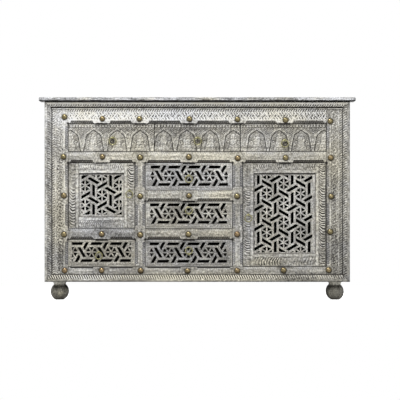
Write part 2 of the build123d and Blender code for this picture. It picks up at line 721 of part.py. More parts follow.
CENTRE_PATTERN = Pierced(
    drawer_field(CENTRE_OPENINGS[0], CENTRE_FIELD_MARGIN, CENTRE_FIELD_HEIGHT),
    CENTRE_PITCH,
    0,
    1,
    (0, 0),
).holes()
LEFT_DRAWER_PATTERN = Pierced(
    drawer_field(LEFT_DRAWER_OPENING, LEFT_FIELD_MARGIN, LEFT_FIELD_HEIGHT),
    DOOR_PITCH,
    0,
    1,
    (DOOR_PITCH / 2, 0),
).holes()
LEFT_DOOR_PATTERN = Pierced(
    door_field(LEFT_DOOR_OPENING, LEFT_DOOR_BOTTOM_RAIL, LEFT_DOOR_MARGIN),
    DOOR_PITCH,
    LATTICE_TURN / 2,
    1,
    LEFT_DOOR_LATTICE,
).holes()
RIGHT_DOOR_PATTERN = Pierced(
    door_field(RIGHT_DOOR_OPENING, RIGHT_DOOR_BOTTOM_RAIL, RIGHT_DOOR_MARGIN),
    DOOR_PITCH,
    LATTICE_TURN / 2,
    -1,
    (RIGHT_DOOR_LATTICE[0], DOOR_PITCH / 2 + RIGHT_DOOR_LATTICE[1]),
).holes()

# ---------------------------------------------------------------- ring pulls
LEAN = math.degrees(math.asin((EYE_REACH - RING_WIRE - RING_FACE_GAP) / (2 * RING_RADIUS)))
EYE_Y = FRONT_FACE - EYE_REACH


def bore_for_eye(x, z):
    """Bores the eye's hole through the part being built."""
    with Locations((x, (FRONT_FACE + FRONT_BACK) / 2, z)):
        Cylinder(EYE_WIRE, 2 * FRONT_THICKNESS, rotation=(90, 0, 0), mode=Mode.SUBTRACT)


def write_pull(name, x, z, turned_up):
    """Writes one pull: its eye in the front at x, z, and the ring that hangs in it."""
    with BuildPart() as eye:
        with Locations((x, EYE_Y, z)):
            Torus(EYE_RADIUS, EYE_WIRE, rotation=(0, 90, 0))
        with Locations((x, FRONT_FACE - ROSE_THICKNESS / 2, z)):
            Cylinder(ROSE_RADIUS, ROSE_THICKNESS, rotation=(90, 0, 0))
        tail = (EYE_Y + EYE_RADIUS, FRONT_BACK + EYE_TAIL)
        with Locations((x, middle(tail), z)):
            Cylinder(EYE_WIRE, tail[1] - tail[0], rotation=(90, 0, 0))
    write(eye.part, f"{name}_pull_eye")
    with BuildPart() as ring:
        with Locations((x, EYE_Y, z - RING_RADIUS)):
            Torus(RING_RADIUS, RING_WIRE, rotation=(90, 0, 0))
    ring_part = ring.part
    if turned_up:
        pivot = Axis((x, EYE_Y, z), (-1, 0, 0))
        ring_part = ring.part.rotate(pivot, 180 + LEAN)
    write(ring_part, f"{name}_pull_ring")


# ---------------------------------------------------------------- drawers
def drawer_front(x, z, pull, pattern=None, shift=(0, 0)):
    """A drawer front over its opening, pierced off its middle where it has a pattern."""
    with BuildPart() as front:
        board(shrink(x, FRONT_GAP), (FRONT_FACE, FRONT_BACK), shrink(z, FRONT_GAP))
        fillet(front.faces().sort_by(Axis.Y)[0].edges(), FRONT_FILLET)
        if pattern is not None:
            pierce(pattern, middle(x) + shift[0], middle(z) + shift[1], FRONT_FACE)
        bore_for_eye(*pull)
    return front.part


def drawer_box(x, z):
    """Two sides, a back and a bottom behind a front; x is the space between its guides."""
    outer = shrink(x, BOX_SIDE_GAP)
    inner = shrink(outer, BOX_SIDE)
    y = (FRONT_BACK, INNER_BACK - BOX_BACK_ROOM)
    height = (z[0] + RUN_GAP, z[1] - BOX_HEADROOM)
    bottom = (height[0] + BOX_BOTTOM_RISE, height[0] + BOX_BOTTOM_RISE + BOX_BOTTOM)
    limits = [
        ((outer[0], inner[0]), y, height),
        ((inner[1], outer[1]), y, height),
        (inner, (y[1] - BOX_SIDE, y[1]), height),
        (inner, (y[0], y[1] - BOX_SIDE), bottom),
    ]
    pieces = []
    for limit in limits:
        with BuildPart() as piece:
            board(*limit)
        pieces.append(piece.part.solid())
    return Compound(children=pieces)


TOP_NAMES = ("top_left_drawer", "top_middle_drawer", "top_right_drawer")
for index, name in enumerate(TOP_NAMES):
    front_x = around((index - 1) * TOP_DRAWER_WIDTH, TOP_DRAWER_WIDTH)
    box_x = (
        front_x[0] if index == 0 else front_x[0] + PARTITION_THICKNESS / 2,
        front_x[1] if index == len(TOP_NAMES) - 1 else front_x[1] - PARTITION_THICKNESS / 2,
    )
    across, up = TOP_PULL_SHIFTS[index]
    pull_place = (middle(front_x) + across, middle(TOP_OPENING.z) + up)
    write(drawer_front(front_x, TOP_OPENING.z, pull_place), f"{name}_front")
    write(drawer_box(box_x, TOP_OPENING.z), f"{name}_box")
    write_pull(name, *pull_place, turned_up=False)

CENTRE_NAMES = ("centre_upper_drawer", "centre_middle_drawer", "centre_lower_drawer")
for index, (name, opening) in enumerate(zip(CENTRE_NAMES, CENTRE_OPENINGS)):
    pull_place = (CENTRE_MIDDLE, middle(opening.z) + CENTRE_PULL_RISES[index])
    shift = CENTRE_FIELD_SHIFTS[index]
    front = drawer_front(opening.x, opening.z, pull_place, CENTRE_PATTERN, shift)
    write(front, f"{name}_front")
    write(drawer_box(opening.x, opening.z), f"{name}_box")
    write_pull(name, *pull_place, turned_up=index > 0)

opening = LEFT_DRAWER_OPENING
pull_place = (
    LEFT_MIDDLE + LEFT_DRAWER_PULL_SHIFT[0],
    middle(opening.z) + LEFT_DRAWER_PULL_SHIFT[1],
)
left_drawer_front = drawer_front(
    opening.x,
    opening.z,
    pull_place,
    LEFT_DRAWER_PATTERN,
    LEFT_DRAWER_FIELD_SHIFT,
)
write(left_drawer_front, "left_drawer_front")
write(drawer_box(opening.x, opening.z), "left_drawer_box")
write_pull("left_drawer", *pull_place, turned_up=False)


# ---------------------------------------------------------------- doors
def door_frame(opening, hinge_side, bottom_rail, pull):
    """Two stiles and two rails, grooved for the panel, the hinge edge a half round."""
    outer_x = shrink(opening.x, FRONT_GAP)
    outer_z = shrink(opening.z, FRONT_GAP)
    inner_x, inner_z = door_light(opening, bottom_rail)
    y = (FRONT_FACE, FRONT_BACK)
    groove_y = (FRONT_FACE + PANEL_RECESS, FRONT_FACE + PANEL_RECESS + PANEL_THICKNESS)
    groove = (shrink(inner_x, -GROOVE_DEPTH), groove_y, shrink(inner_z, -GROOVE_DEPTH))
    pieces = []
    for side, x in ((-1, (outer_x[0], inner_x[0])), (1, (inner_x[1], outer_x[1]))):
        with BuildPart() as stile:
            board(x, y, outer_z)
            edges = stile.edges().filter_by(Axis.Z).group_by(Axis.X)[0 if side < 0 else -1]
            if side == hinge_side:
                fillet(edges, FRONT_THICKNESS / 2 - HINGE_EDGE_LAND)
                cut_pin_bores(PIN_RADIUS + PIN_RUN_GAP, FRONT_GAP)
            else:
                fillet(edges.sort_by(Axis.Y)[0], FRONT_FILLET)
                bore_for_eye(*pull)
            board(*groove, mode=Mode.SUBTRACT)
        pieces.append(stile.part.solid())
    for z in ((outer_z[0], inner_z[0]), (inner_z[1], outer_z[1])):
        with BuildPart() as rail:
            board(inner_x, y, z)
            board(*groove, mode=Mode.SUBTRACT)
        pieces.append(rail.part.solid())
    return Compound(children=pieces), inner_x, groove_y, inner_z


def write_door(name, opening, hinge_side, bottom_rail, pull, pattern, shift):
    """Writes a door's frame, its pierced panel and its pull."""
    frame_pieces, inner_x, panel_y, inner_z = door_frame(opening, hinge_side, bottom_rail, pull)
    write(frame_pieces, f"{name}_frame")
    with BuildPart() as panel:
        board(
            shrink(inner_x, GROOVE_GAP - GROOVE_DEPTH),
            panel_y,
            shrink(inner_z, GROOVE_GAP - GROOVE_DEPTH),
        )
        pierce(pattern, middle(inner_x) + shift[0], middle(inner_z) + shift[1], panel_y[0])
    write(panel.part, f"{name}_panel")
    write_pull(name, *pull, turned_up=False)


LEFT_DOOR_PULL = (
    LEFT_BAY[1] - FRONT_GAP - DOOR_STILE / 2,
    middle(LEFT_DOOR_OPENING.z) + LEFT_DOOR_PULL_RISE,
)
RIGHT_DOOR_PULL = (RIGHT_BAY[0] + FRONT_GAP + DOOR_STILE / 2, middle(RIGHT_DOOR_OPENING.z))
write_door(
    "left_door",
    LEFT_DOOR_OPENING,
    -1,
    LEFT_DOOR_BOTTOM_RAIL,
    LEFT_DOOR_PULL,
    LEFT_DOOR_PATTERN,
    LEFT_DOOR_FIELD_SHIFT,
)
write_door(
    "right_door",
    RIGHT_DOOR_OPENING,
    1,
    RIGHT_DOOR_BOTTOM_RAIL,
    RIGHT_DOOR_PULL,
    RIGHT_DOOR_PATTERN,
    RIGHT_DOOR_FIELD_SHIFT,
)
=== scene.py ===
import logging
import math
from collections.abc import Callable, Iterable
from dataclasses import dataclass, field, replace
from enum import Enum

import bmesh
import bpy
import numpy as np
from mathutils import Matrix, Vector


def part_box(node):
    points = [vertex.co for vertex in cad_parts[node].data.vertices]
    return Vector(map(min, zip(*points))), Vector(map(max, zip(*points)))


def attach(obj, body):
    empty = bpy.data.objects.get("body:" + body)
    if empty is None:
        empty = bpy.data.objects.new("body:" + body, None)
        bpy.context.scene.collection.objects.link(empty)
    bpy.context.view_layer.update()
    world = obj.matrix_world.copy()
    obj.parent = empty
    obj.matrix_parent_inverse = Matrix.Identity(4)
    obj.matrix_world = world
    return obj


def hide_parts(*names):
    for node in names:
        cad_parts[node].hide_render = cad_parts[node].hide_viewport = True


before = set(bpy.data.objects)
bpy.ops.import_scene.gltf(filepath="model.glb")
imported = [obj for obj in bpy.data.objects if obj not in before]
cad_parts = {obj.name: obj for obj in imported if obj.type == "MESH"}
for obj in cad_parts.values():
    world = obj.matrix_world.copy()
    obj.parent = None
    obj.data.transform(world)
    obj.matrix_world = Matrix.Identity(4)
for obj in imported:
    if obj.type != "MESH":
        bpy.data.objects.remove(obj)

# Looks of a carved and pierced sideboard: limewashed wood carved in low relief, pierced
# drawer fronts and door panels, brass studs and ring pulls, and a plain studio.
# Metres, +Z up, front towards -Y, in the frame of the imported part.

LOG = logging.getLogger("sideboard")
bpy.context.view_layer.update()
MM = 0.001
TURN = 2 * math.pi
# metres within which two places count as one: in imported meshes, and in the script's own
NEAR = 1e-5
HAIR = 1e-6
# metres within which loose points are joined
WELD = 0.01 * MM

Array = np.ndarray
Colour = tuple[float, float, float]


# ---------------------------------------------------------------- places
@dataclass(frozen=True)
class Span:
    """A stretch along one axis."""

    low: float
    high: float

    @property
    def size(self) -> float:
        """Length of the stretch."""
        return self.high - self.low

    @property
    def middle(self) -> float:
        """Middle of the stretch."""
        return (self.low + self.high) / 2

    def shrunk(self, gap: float) -> "Span":
        """The stretch moved in by a gap at both ends."""
        return Span(self.low + gap, self.high - gap)

    def holds(self, place: float) -> bool:
        """True where a place lies inside the stretch."""
        return self.low < place < self.high

    def outside(self, place: Array) -> Array:
        """How far places lie outside the stretch, less than 0 inside it."""
        return np.maximum(self.low - place, place - self.high)


@dataclass(frozen=True)
class Rect:
    """A rectangle in the plane of the front."""

    x: Span
    z: Span

    def shrunk(self, gap: float) -> "Rect":
        """The rectangle moved in by a gap all round."""
        return Rect(self.x.shrunk(gap), self.z.shrunk(gap))

    def outside(self, x: Array, z: Array) -> Array:
        """How far points lie outside the rectangle, less than 0 inside it."""
        return np.maximum(self.x.outside(x), self.z.outside(z))


def node_rect(node: str) -> Rect:
    """The rectangle that a CAD node fills, seen from the front."""
    low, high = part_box(node)
    return Rect(Span(low.x, high.x), Span(low.z, high.z))


def node_depth(node: str) -> Span:
    """The stretch that a CAD node fills from front to back."""
    low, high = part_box(node)
    return Span(low.y, high.y)


def spots(node: str, face_y: float) -> list[tuple[float, float]]:
    """Places where a CAD node's domes stand highest.

    Args:
        node: The node of the domes.
        face_y: Where their tips lie.

    Returns:
        The X and Z of each tip.
    """
    tips = {
        (round(v.co.x, 4), round(v.co.z, 4))
        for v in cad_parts[node].data.vertices
        if abs(v.co.y - face_y) < NEAR
    }
    return sorted(tips)


# ---------------------------------------------------------------- carver's arithmetic
def smooth(low: float, high: float, value: Array) -> Array:
    """Rises smoothly from 0 at low to 1 at high."""
    share = np.clip((value - low) / (high - low), 0, 1)
    return share * share * (3 - 2 * share)


def fall(low: float, high: float, value: Array) -> Array:
    """Falls smoothly from 1 at low to 0 at high."""
    return 1 - smooth(low, high, value)


def ridge(distance: Array, half_width: float) -> Array:
    """1 on a line, falling smoothly to 0 at half_width from it."""
    return smooth(0, 1, 1 - np.abs(distance) / half_width)


def band(value: Array, low: float, high: float, soft: float) -> Array:
    """1 inside a band, falling to 0 over soft outside it."""
    return smooth(low - soft, low, value) * fall(high, high + soft, value)


def wave(phase: Array) -> Array:
    """A smooth wave from 0 to 1, once per unit of phase, 1 at whole numbers."""
    return 0.5 + 0.5 * np.cos(TURN * phase)


def zigzag(phase: Array) -> Array:
    """A straight zigzag from 0 to 1 and back, once per unit of phase."""
    return 1 - np.abs(2 * (phase - np.floor(phase)) - 1)


def rounded(inward: Array, radius: float) -> Array:
    """Depth of a round arris at a distance in from its edge."""
    left = np.clip(radius - inward, 0, radius)
    return radius - np.sqrt(radius**2 - left**2)


@dataclass(frozen=True)
class Ripple:
    """Seeded unevenness of a hand-worked face, from -1 to 1."""

    seed: int
    length: float
    waves: int = 14
    spread: tuple[float, float] = (0.6, 1.8)

    def at(self, x: Array, z: Array) -> Array:
        """Its height at each point."""
        draw = np.random.default_rng(self.seed)
        total = np.zeros_like(x)
        for _ in range(self.waves):
            way = draw.uniform(0, TURN)
            step = TURN / (self.length * draw.uniform(*self.spread))
            total += np.sin(step * (x * math.cos(way) + z * math.sin(way)) + draw.uniform(0, TURN))
        return total / math.sqrt(self.waves)


@dataclass
class Face:
    """What a carver leaves of a face: its depth, and how it takes lime, staining and painted shade.
    """

    x: Array
    z: Array
    depth: Array = field(init=False)
    relief: Array = field(init=False)
    stain: Array = field(init=False)
    wear: Array = field(init=False)
    tint: Array = field(init=False)

    def __post_init__(self) -> None:
        """Starts as a flat, evenly limed face."""
        self.depth = np.zeros_like(self.x)
        self.relief = np.full_like(self.x, FLAT_RELIEF)
        self.stain = np.zeros_like(self.x)
        self.wear = np.zeros_like(self.x)
        self.tint = np.zeros_like(self.x)

    def cut(self, mask: Array, depth: float, tone: float) -> None:
        """Lowers the face by depth where mask is 1, and darkens it there by tone."""
        self.depth += mask * depth
        self.relief -= mask * tone

    def plane(self, depth: float, ripple: Ripple) -> None:
        """Lowers the face by about depth, with the waves of a hand plane."""
        self.depth += depth * (1 + ripple.at(self.x, self.z) / 3)

    def settle(self, mask: Array, **tones: Array | float) -> None:
        """Brings the depth and tones that are named to plain values where mask is 1."""
        for name, value in tones.items():
            old = getattr(self, name)
            setattr(self, name, old + mask * (value - old))

    def darken(self, stain: Array) -> None:
        """Darkens the face at least this much, with staining and painted shade alike."""
        self.stain = np.maximum(self.stain, stain)

    def rub(self, wear: Array) -> None:
        """Rubs the face pale at least this much."""
        self.wear = np.maximum(self.wear, wear)


FLAT_RELIEF = 0.62
Carve = Callable[[Face], None]


@dataclass(frozen=True)
class Patch:
    """A soft-edged patch where the lime is thicker, thinner, warmer or cooler."""

    x: float
    z: float
    wide: float
    high: float
    lime: float
    tint: float

    def wash(self, face: Face) -> None:
        """Lays the patch over a carved face; its sizes are in millimetres."""
        u = (face.x / MM - self.x) / self.wide
        v = (face.z / MM - self.z) / self.high
        mask = np.exp(-(u * u + v * v))
        face.relief += self.lime * mask
        face.tint += self.tint * mask


# places where years of handling and cleaning show on this piece, in millimetres:
# x, z, half width, half height, more or less lime, warmer or cooler
PATCHES = (
    Patch(-600, 800, 70, 60, 0.18, -0.9),
    Patch(-430, 815, 190, 40, 0.21, 0.1),
    Patch(-80, 815, 120, 40, 0.0, -0.7),
    Patch(420, 800, 160, 45, 0.01, 0.3),
    Patch(522, 804, 58, 34, -0.21, -0.2),
    Patch(645, 800, 42, 50, 0.14, 0.0),
    Patch(-610, 330, 40, 130, 0.06, 1.1),
    Patch(-600, 180, 60, 60, -0.10, -0.5),
    Patch(-300, 630, 150, 30, 0.05, 0.6),
    Patch(60, 630, 260, 30, 0.10, 0.8),
    Patch(-440, 296, 150, 22, 0.05, -0.5),
    Patch(0, 95, 260, 25, 0.10, 1.0),
    Patch(-480, 95, 120, 25, 0.06, -0.3),
    Patch(480, 95, 180, 25, -0.14, -0.2),
    Patch(110, 462, 60, 26, 0.10, 1.2),
    Patch(110, 292, 70, 26, 0.06, 1.0),
    Patch(600, 560, 40, 90, 0.0, 0.8),
    Patch(600, 250, 45, 120, -0.06, 0.2),
    Patch(540, 470, 30, 220, 0.05, 0.6),
    Patch(230, 300, 26, 120, 0.05, -0.5),
    Patch(-430, 346, 120, 22, -0.11, -0.4),
    Patch(-600, 380, 34, 60, -0.13, 0.0),
    Patch(-600, 210, 34, 60, -0.15, 0.0),
    Patch(-430, 592, 110, 22, 0.08, 0.0),
    Patch(300, 165, 80, 16, 0.0, 1.4),
    Patch(-250, 799, 30, 40, 0.05, 0.2),
)


def wash_patches(face: Face) -> None:
    """Lays every patch over a carved face."""
    for patch in PATCHES:
        patch.wash(face)


# ---------------------------------------------------------------- meshes
def finish_object(name: str, bm: bmesh.types.BMesh, flat: bool = False) -> bpy.types.Object:
    """Makes an object at the origin from a bmesh.

    Args:
        name: The piece's name.
        bm: Its mesh, freed here.
        flat: Whether its faces are shaded flat.

    Returns:
        The new object.
    """
    mesh = bpy.data.meshes.new(name)
    bm.to_mesh(mesh)
    bm.free()
    if flat:
        mesh.shade_flat()
    else:
        mesh.shade_smooth()
    made = bpy.data.objects.new(name, mesh)
    bpy.context.scene.collection.objects.link(made)
    return made


def dress(piece: bpy.types.Object, finish: "Finish") -> None:
    """Gives a piece its one material."""
    piece.data.materials.clear()
    piece.data.materials.append(finish.build())


def fit(
    piece: bpy.types.Object, finish: "Finish", slot: str, body: str, *nodes: str
) -> bpy.types.Object:
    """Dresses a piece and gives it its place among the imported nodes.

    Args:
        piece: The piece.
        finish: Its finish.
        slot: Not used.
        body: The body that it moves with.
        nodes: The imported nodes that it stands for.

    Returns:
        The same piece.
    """
    dress(piece, finish)
    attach(piece, body)
    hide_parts(*nodes)
    return piece


def mark(mesh: bpy.types.Mesh, domain: str = "POINT", **tones: Array) -> None:
    """Writes one number per point or face into each named attribute."""
    for name, values in tones.items():
        attribute = mesh.attributes.new(name, "FLOAT", domain)
        attribute.data.foreach_set("value", values.astype(np.float32))


def merged_copy(node: str, gap: float) -> bmesh.types.BMesh:
    """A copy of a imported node's mesh, with its loose triangles joined."""
    bm = bmesh.new()
    bm.from_mesh(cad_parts[node].data)
    bmesh.ops.remove_doubles(bm, verts=bm.verts, dist=gap)
    return bm


def grid_lines(span: Span, cell: float, marks: Iterable[float] = ()) -> Array:
    """Places of grid lines along a span, about a cell apart, with lines on the marks."""
    stops = sorted({span.low, span.high, *(m for m in marks if span.holds(m))})
    lines = [np.array([stops[0]])]
    for start, end in zip(stops, stops[1:]):
        count = max(1, round((end - start) / cell))
        lines.append(np.linspace(start, end, count + 1)[1:])
    return np.concatenate(lines)


HALF_UNIT = 0.5


def closed_sheet(across: int, up: int, back_y: float) -> bmesh.types.BMesh:
    """A closed slab whose front is a grid: its front points come first, row by row.

    Args:
        across: Grid lines across.
        up: Grid lines up.
        back_y: Where the slab's back lies.

    Returns:
        The slab's bmesh, one unit wide and high, its grid facing -Y.
    """
    bm = bmesh.new()
    upright = Matrix.Rotation(math.radians(90), 4, "X")
    bmesh.ops.create_grid(
        bm, x_segments=across - 1, y_segments=up - 1, size=HALF_UNIT, matrix=upright
    )
    rim = [edge for edge in bm.edges if edge.is_boundary]
    made = bmesh.ops.extrude_edge_only(bm, edges=rim)
    walls = [v for v in made["geom"] if isinstance(v, bmesh.types.BMVert)]
    for vert in walls:
        vert.co.y = back_y
    back = [e for e in made["geom"] if isinstance(e, bmesh.types.BMEdge) and e.is_boundary]
    bmesh.ops.edgeloop_fill(bm, edges=back)
    bmesh.ops.recalc_face_normals(bm, faces=bm.faces)
    return bm


# lowest and highest value of each tone, and its plain value on walls and backs
TONES = {
    "relief": (-0.3, 1.5, FLAT_RELIEF),
    "stain": (0, 2, 0.6),
    "wear": (0, 1, 0.0),
    "tint": (-2, 2, 0.0),
}


class Sheet:
    """A closed slab with a grid for its front, to be laid out, carved and kept."""

    def __init__(self, name: str, across: Array, up: Array, depth: Span) -> None:
        """Starts as a slab one unit wide and high.

        Args:
            name: The piece's name.
            across: Grid lines across.
            up: Grid lines up.
            depth: From the uncarved front to the back.
        """
        self.piece = finish_object(name, closed_sheet(len(across), len(up), depth.high))
        self.depth = depth
        self.front = len(across) * len(up)
        points = np.zeros(len(self.piece.data.vertices) * 3)
        self.piece.data.vertices.foreach_get("co", points)
        self.points = points.reshape(-1, 3)
        self.across = across[self.line_of(0, len(across))]
        self.up = up[self.line_of(2, len(up))]

    def line_of(self, axis: int, count: int) -> Array:
        """Which grid line each point of the unit slab lies on."""
        return np.rint((self.points[:, axis] + HALF_UNIT) * (count - 1)).astype(int)

    def lay(self, x: Array, z: Array) -> Face:
        """Puts every point in its place, and gives the front as a face to carve."""
        self.points[:, 0], self.points[:, 2] = x, z
        return Face(x[:self.front], z[:self.front])

    def keep(self, face: Face) -> bpy.types.Object:
        """Moves the front to its carved depth and writes the tones as attributes."""
        mesh = self.piece.data
        self.points[:self.front, 1] = self.depth.low + np.maximum(face.depth, 0)
        mesh.vertices.foreach_set("co", self.points.ravel())
        mesh.update()
        for name, (low, high, elsewhere) in TONES.items():
            rest = np.full(len(self.points) - self.front, elsewhere)
            values = np.clip(getattr(face, name), low, high)
            mark(mesh, **{name: np.concatenate([values, rest])})
        return self.piece


@dataclass
class CarvedSlab:
    """A board whose front is a fine grid moved by a carver's function."""

    name: str
    rect: Rect
    depth: Span
    cell: float
    marks: tuple[tuple[float, ...], tuple[float, ...]] = ((), ())

    def build(self, carve: Carve) -> bpy.types.Object:
        """Carves the board.

        Args:
            carve: Sets the depth and tones of the face.

        Returns:
            The board, with its tones as attributes.
        """
        across = grid_lines(self.rect.x, self.cell, self.marks[0])
        up = grid_lines(self.rect.z, self.cell, self.marks[1])
        sheet = Sheet(self.name, across, up, self.depth)
        face = sheet.lay(sheet.across, sheet.up)
        carve(face)
        wash_patches(face)
        return sheet.keep(face)


# ---------------------------------------------------------------- shader graphs
class Graph:
    """Adds and links the nodes of one tree."""

    def __init__(self, tree: bpy.types.NodeTree) -> None:
        """Starts on an empty tree."""
        self.tree = tree

    def add(self, kind: str, **settings: object) -> bpy.types.Node:
        """Adds a node of a kind and sets its options."""
        node = self.tree.nodes.new(kind)
        for name, value in settings.items():
            setattr(node, name, value)
        return node

    def put(self, socket: bpy.types.NodeSocket, value: object) -> None:
        """Links a socket to value, or sets it where value is a plain one."""
        if isinstance(value, bpy.types.NodeSocket):
            self.tree.links.new(value, socket)
        elif isinstance(value, tuple) and len(value) == 3 and socket.type == "RGBA":
            socket.default_value = (*value, 1)
        else:
            socket.default_value = value

    def math(self, operation: str, *values: object) -> bpy.types.NodeSocket:
        """A Math node on two values, or three."""
        node = self.add("ShaderNodeMath", operation=operation)
        for socket, value in zip(node.inputs, values):
            self.put(socket, value)
        return node.outputs[0]

    def times(self, value: object, gain: object) -> bpy.types.NodeSocket:
        """A value times another."""
        return self.math("MULTIPLY", value, gain)

    def total(self, *terms: object) -> bpy.types.NodeSocket:
        """The sum of several values."""
        result = terms[0]
        for term in terms[1:]:
            result = self.math("ADD", result, term)
        return result

    def scaled(self, vector: object, scale: object) -> bpy.types.NodeSocket:
        """A vector times another, part by part."""
        node = self.add("ShaderNodeVectorMath", operation="MULTIPLY")
        self.put(node.inputs[0], vector)
        self.put(node.inputs[1], scale)
        return node.outputs[0]

    def mix(self, share: object, a: object, b: object, blend: str = "MIX") -> bpy.types.NodeSocket:
        """A colour between two others."""
        node = self.add("ShaderNodeMix", data_type="RGBA", blend_type=blend)
        colours = [socket for socket in node.inputs if socket.type == "RGBA"]
        self.put(node.inputs[0], share)
        self.put(colours[0], a)
        self.put(colours[1], b)
        return next(socket for socket in node.outputs if socket.type == "RGBA")

    def noise(self, vector: object, scale: float, detail: float = 3.0) -> bpy.types.NodeSocket:
        """Noise from about -0.5 to 0.5."""
        node = self.add("ShaderNodeTexNoise", noise_dimensions="3D")
        self.put(node.inputs["Vector"], vector)
        node.inputs["Scale"].default_value = scale
        node.inputs["Detail"].default_value = detail
        node.inputs["Roughness"].default_value = NOISE_ROUGHNESS
        return self.math("SUBTRACT", node.outputs["Fac"], 0.5)

    def step(self, value: object, low: float, high: float) -> bpy.types.NodeSocket:
        """Rises smoothly from 0 at low to 1 at high."""
        node = self.add("ShaderNodeMapRange", interpolation_type="SMOOTHSTEP")
        self.put(node.inputs["Value"], value)
        node.inputs["From Min"].default_value = low
        node.inputs["From Max"].default_value = high
        return node.outputs["Result"]

    def reader(self, name: str) -> bpy.types.NodeSocket:
        """A number that the mesh holds as an attribute."""
        return self.add("ShaderNodeAttribute", attribute_name=name).outputs["Fac"]

    def parts(self, vector: object) -> bpy.types.bpy_prop_collection:
        """The three parts of a vector."""
        node = self.add("ShaderNodeSeparateXYZ")
        self.put(node.inputs[0], vector)
        return node.outputs


NOISE_ROUGHNESS = 0.6


@dataclass(frozen=True)
class Effect:
    """A shader node group, built once, that several materials use."""

    name: str
    inputs: tuple[tuple[str, str, object], ...]
    outputs: tuple[tuple[str, str], ...]
    wire: Callable[[Graph, bpy.types.Node, bpy.types.Node], None]

    def tree(self) -> bpy.types.NodeTree:
        """The group's tree, made the first time it is asked for."""
        known = bpy.data.node_groups.get(self.name)
        if known is not None:
            return known
        tree = bpy.data.node_groups.new(self.name, "ShaderNodeTree")
        for name, kind, value in self.inputs:
            socket = tree.interface.new_socket(name, in_out="INPUT", socket_type=kind)
            socket.default_value = value
        for name, kind in self.outputs:
            tree.interface.new_socket(name, in_out="OUTPUT", socket_type=kind)
        graph = Graph(tree)
        self.wire(graph, graph.add("NodeGroupInput"), graph.add("NodeGroupOutput"))
        return tree

    def place(self, graph: Graph, **values: object) -> bpy.types.Node:
        """Adds the group to a material's graph with that material's values."""
        node = graph.add("ShaderNodeGroup", node_tree=self.tree())
        for name, value in values.items():
            graph.put(node.inputs[name.replace("_", " ")], value)
        return node


FLOAT = "NodeSocketFloat"
COLOUR = "NodeSocketColor"
VECTOR = "NodeSocketVector"
CREAM = (1.0, 0.955, 0.80)
SLATE = (0.925, 0.945, 1.0)
# colour of the darkening up to 1, staining and painted shade alike; past 1 the darkening is painted
# shade alone and goes to black
STAIN_AND_SHADE = (0.022, 0.019, 0.017)
PAINTED_SHADE_BLACK = (0.003, 0.0027, 0.0024)
# how far to either side of plain the lime's warmth may go
WARMTH_REACH = 1.4
# how much of the darkening, staining and painted shade alike, thick lime keeps off
LIME_HOLD = 0.35


def wire_worn_lime(graph: Graph, given: bpy.types.Node, out: bpy.types.Node) -> None:
    """Lime that stays on ridges and wears off in patches, streaks and flecks, darkened by staining
    and painted shade.
    """
    place = graph.add("ShaderNodeTexCoord").outputs["Object"]
    patch = graph.noise(place, scale=9.0, detail=5.0)
    streak = graph.noise(graph.scaled(place, given.outputs["Grain"]), scale=1.0, detail=5.0)
    fleck = graph.noise(place, scale=150.0, detail=2.0)
    speck = graph.noise(place, scale=400.0, detail=2.0)
    lime = graph.total(
        given.outputs["Relief"],
        given.outputs["Cover"],
        graph.times(given.outputs["Wear"], 0.45),
        graph.times(patch, 0.40),
        graph.times(streak, 0.80),
        graph.times(fleck, given.outputs["Coarse"]),
        graph.times(speck, 0.6),
    )
    washed = graph.step(lime, low=0.05, high=0.62)
    thick = graph.step(lime, low=0.50, high=1.15)
    colour = graph.mix(washed, given.outputs["Deep"], given.outputs["Mid"])
    colour = graph.mix(thick, colour, given.outputs["Pale"])
    hue = graph.times(graph.noise(place, scale=5.5), 2.2)
    grain_hue = graph.times(graph.noise(place, scale=60.0, detail=2.0), 1.6)
    warmth = graph.total(given.outputs["Warmth"], given.outputs["Tint"], hue, grain_hue)
    warmth = graph.step(warmth, low=-WARMTH_REACH, high=WARMTH_REACH)
    colour = graph.mix(1.0, colour, graph.mix(warmth, SLATE, CREAM), "MULTIPLY")
    bare = graph.math("SUBTRACT", 1.0, graph.times(thick, LIME_HOLD))
    # staining and painted shade darken the lime; past 1 the painted shade goes to black
    colour = graph.mix(graph.times(given.outputs["Stain"], bare), colour, STAIN_AND_SHADE)
    deep_painted_shade = graph.step(given.outputs["Stain"], low=1.0, high=2.0)
    graph.put(out.inputs["Color"], graph.mix(deep_painted_shade, colour, PAINTED_SHADE_BLACK))
    graph.put(out.inputs["Roughness"], graph.math("MULTIPLY_ADD", thick, 0.18, 0.6))
    height = graph.total(
        graph.times(thick, 0.35),
        graph.times(streak, 0.8),
        graph.times(speck, 0.5),
    )
    graph.put(out.inputs["Height"], height)


WORN_LIME = Effect(
    "worn_lime",
    (
        ("Relief", FLOAT, FLAT_RELIEF),
        ("Stain", FLOAT, 0.0),
        ("Wear", FLOAT, 0.0),
        ("Cover", FLOAT, 0.0),
        ("Warmth", FLOAT, 0.0),
        ("Tint", FLOAT, 0.0),
        ("Coarse", FLOAT, 1.0),
        ("Grain", VECTOR, (8.0, 60.0, 60.0)),
        ("Deep", COLOUR, (0.04, 0.038, 0.036, 1)),
        ("Mid", COLOUR, (0.25, 0.245, 0.235, 1)),
        ("Pale", COLOUR, (0.7, 0.7, 0.69, 1)),
    ),
    (("Color", COLOUR), ("Roughness", FLOAT), ("Height", FLOAT)),
    wire_worn_lime,
)


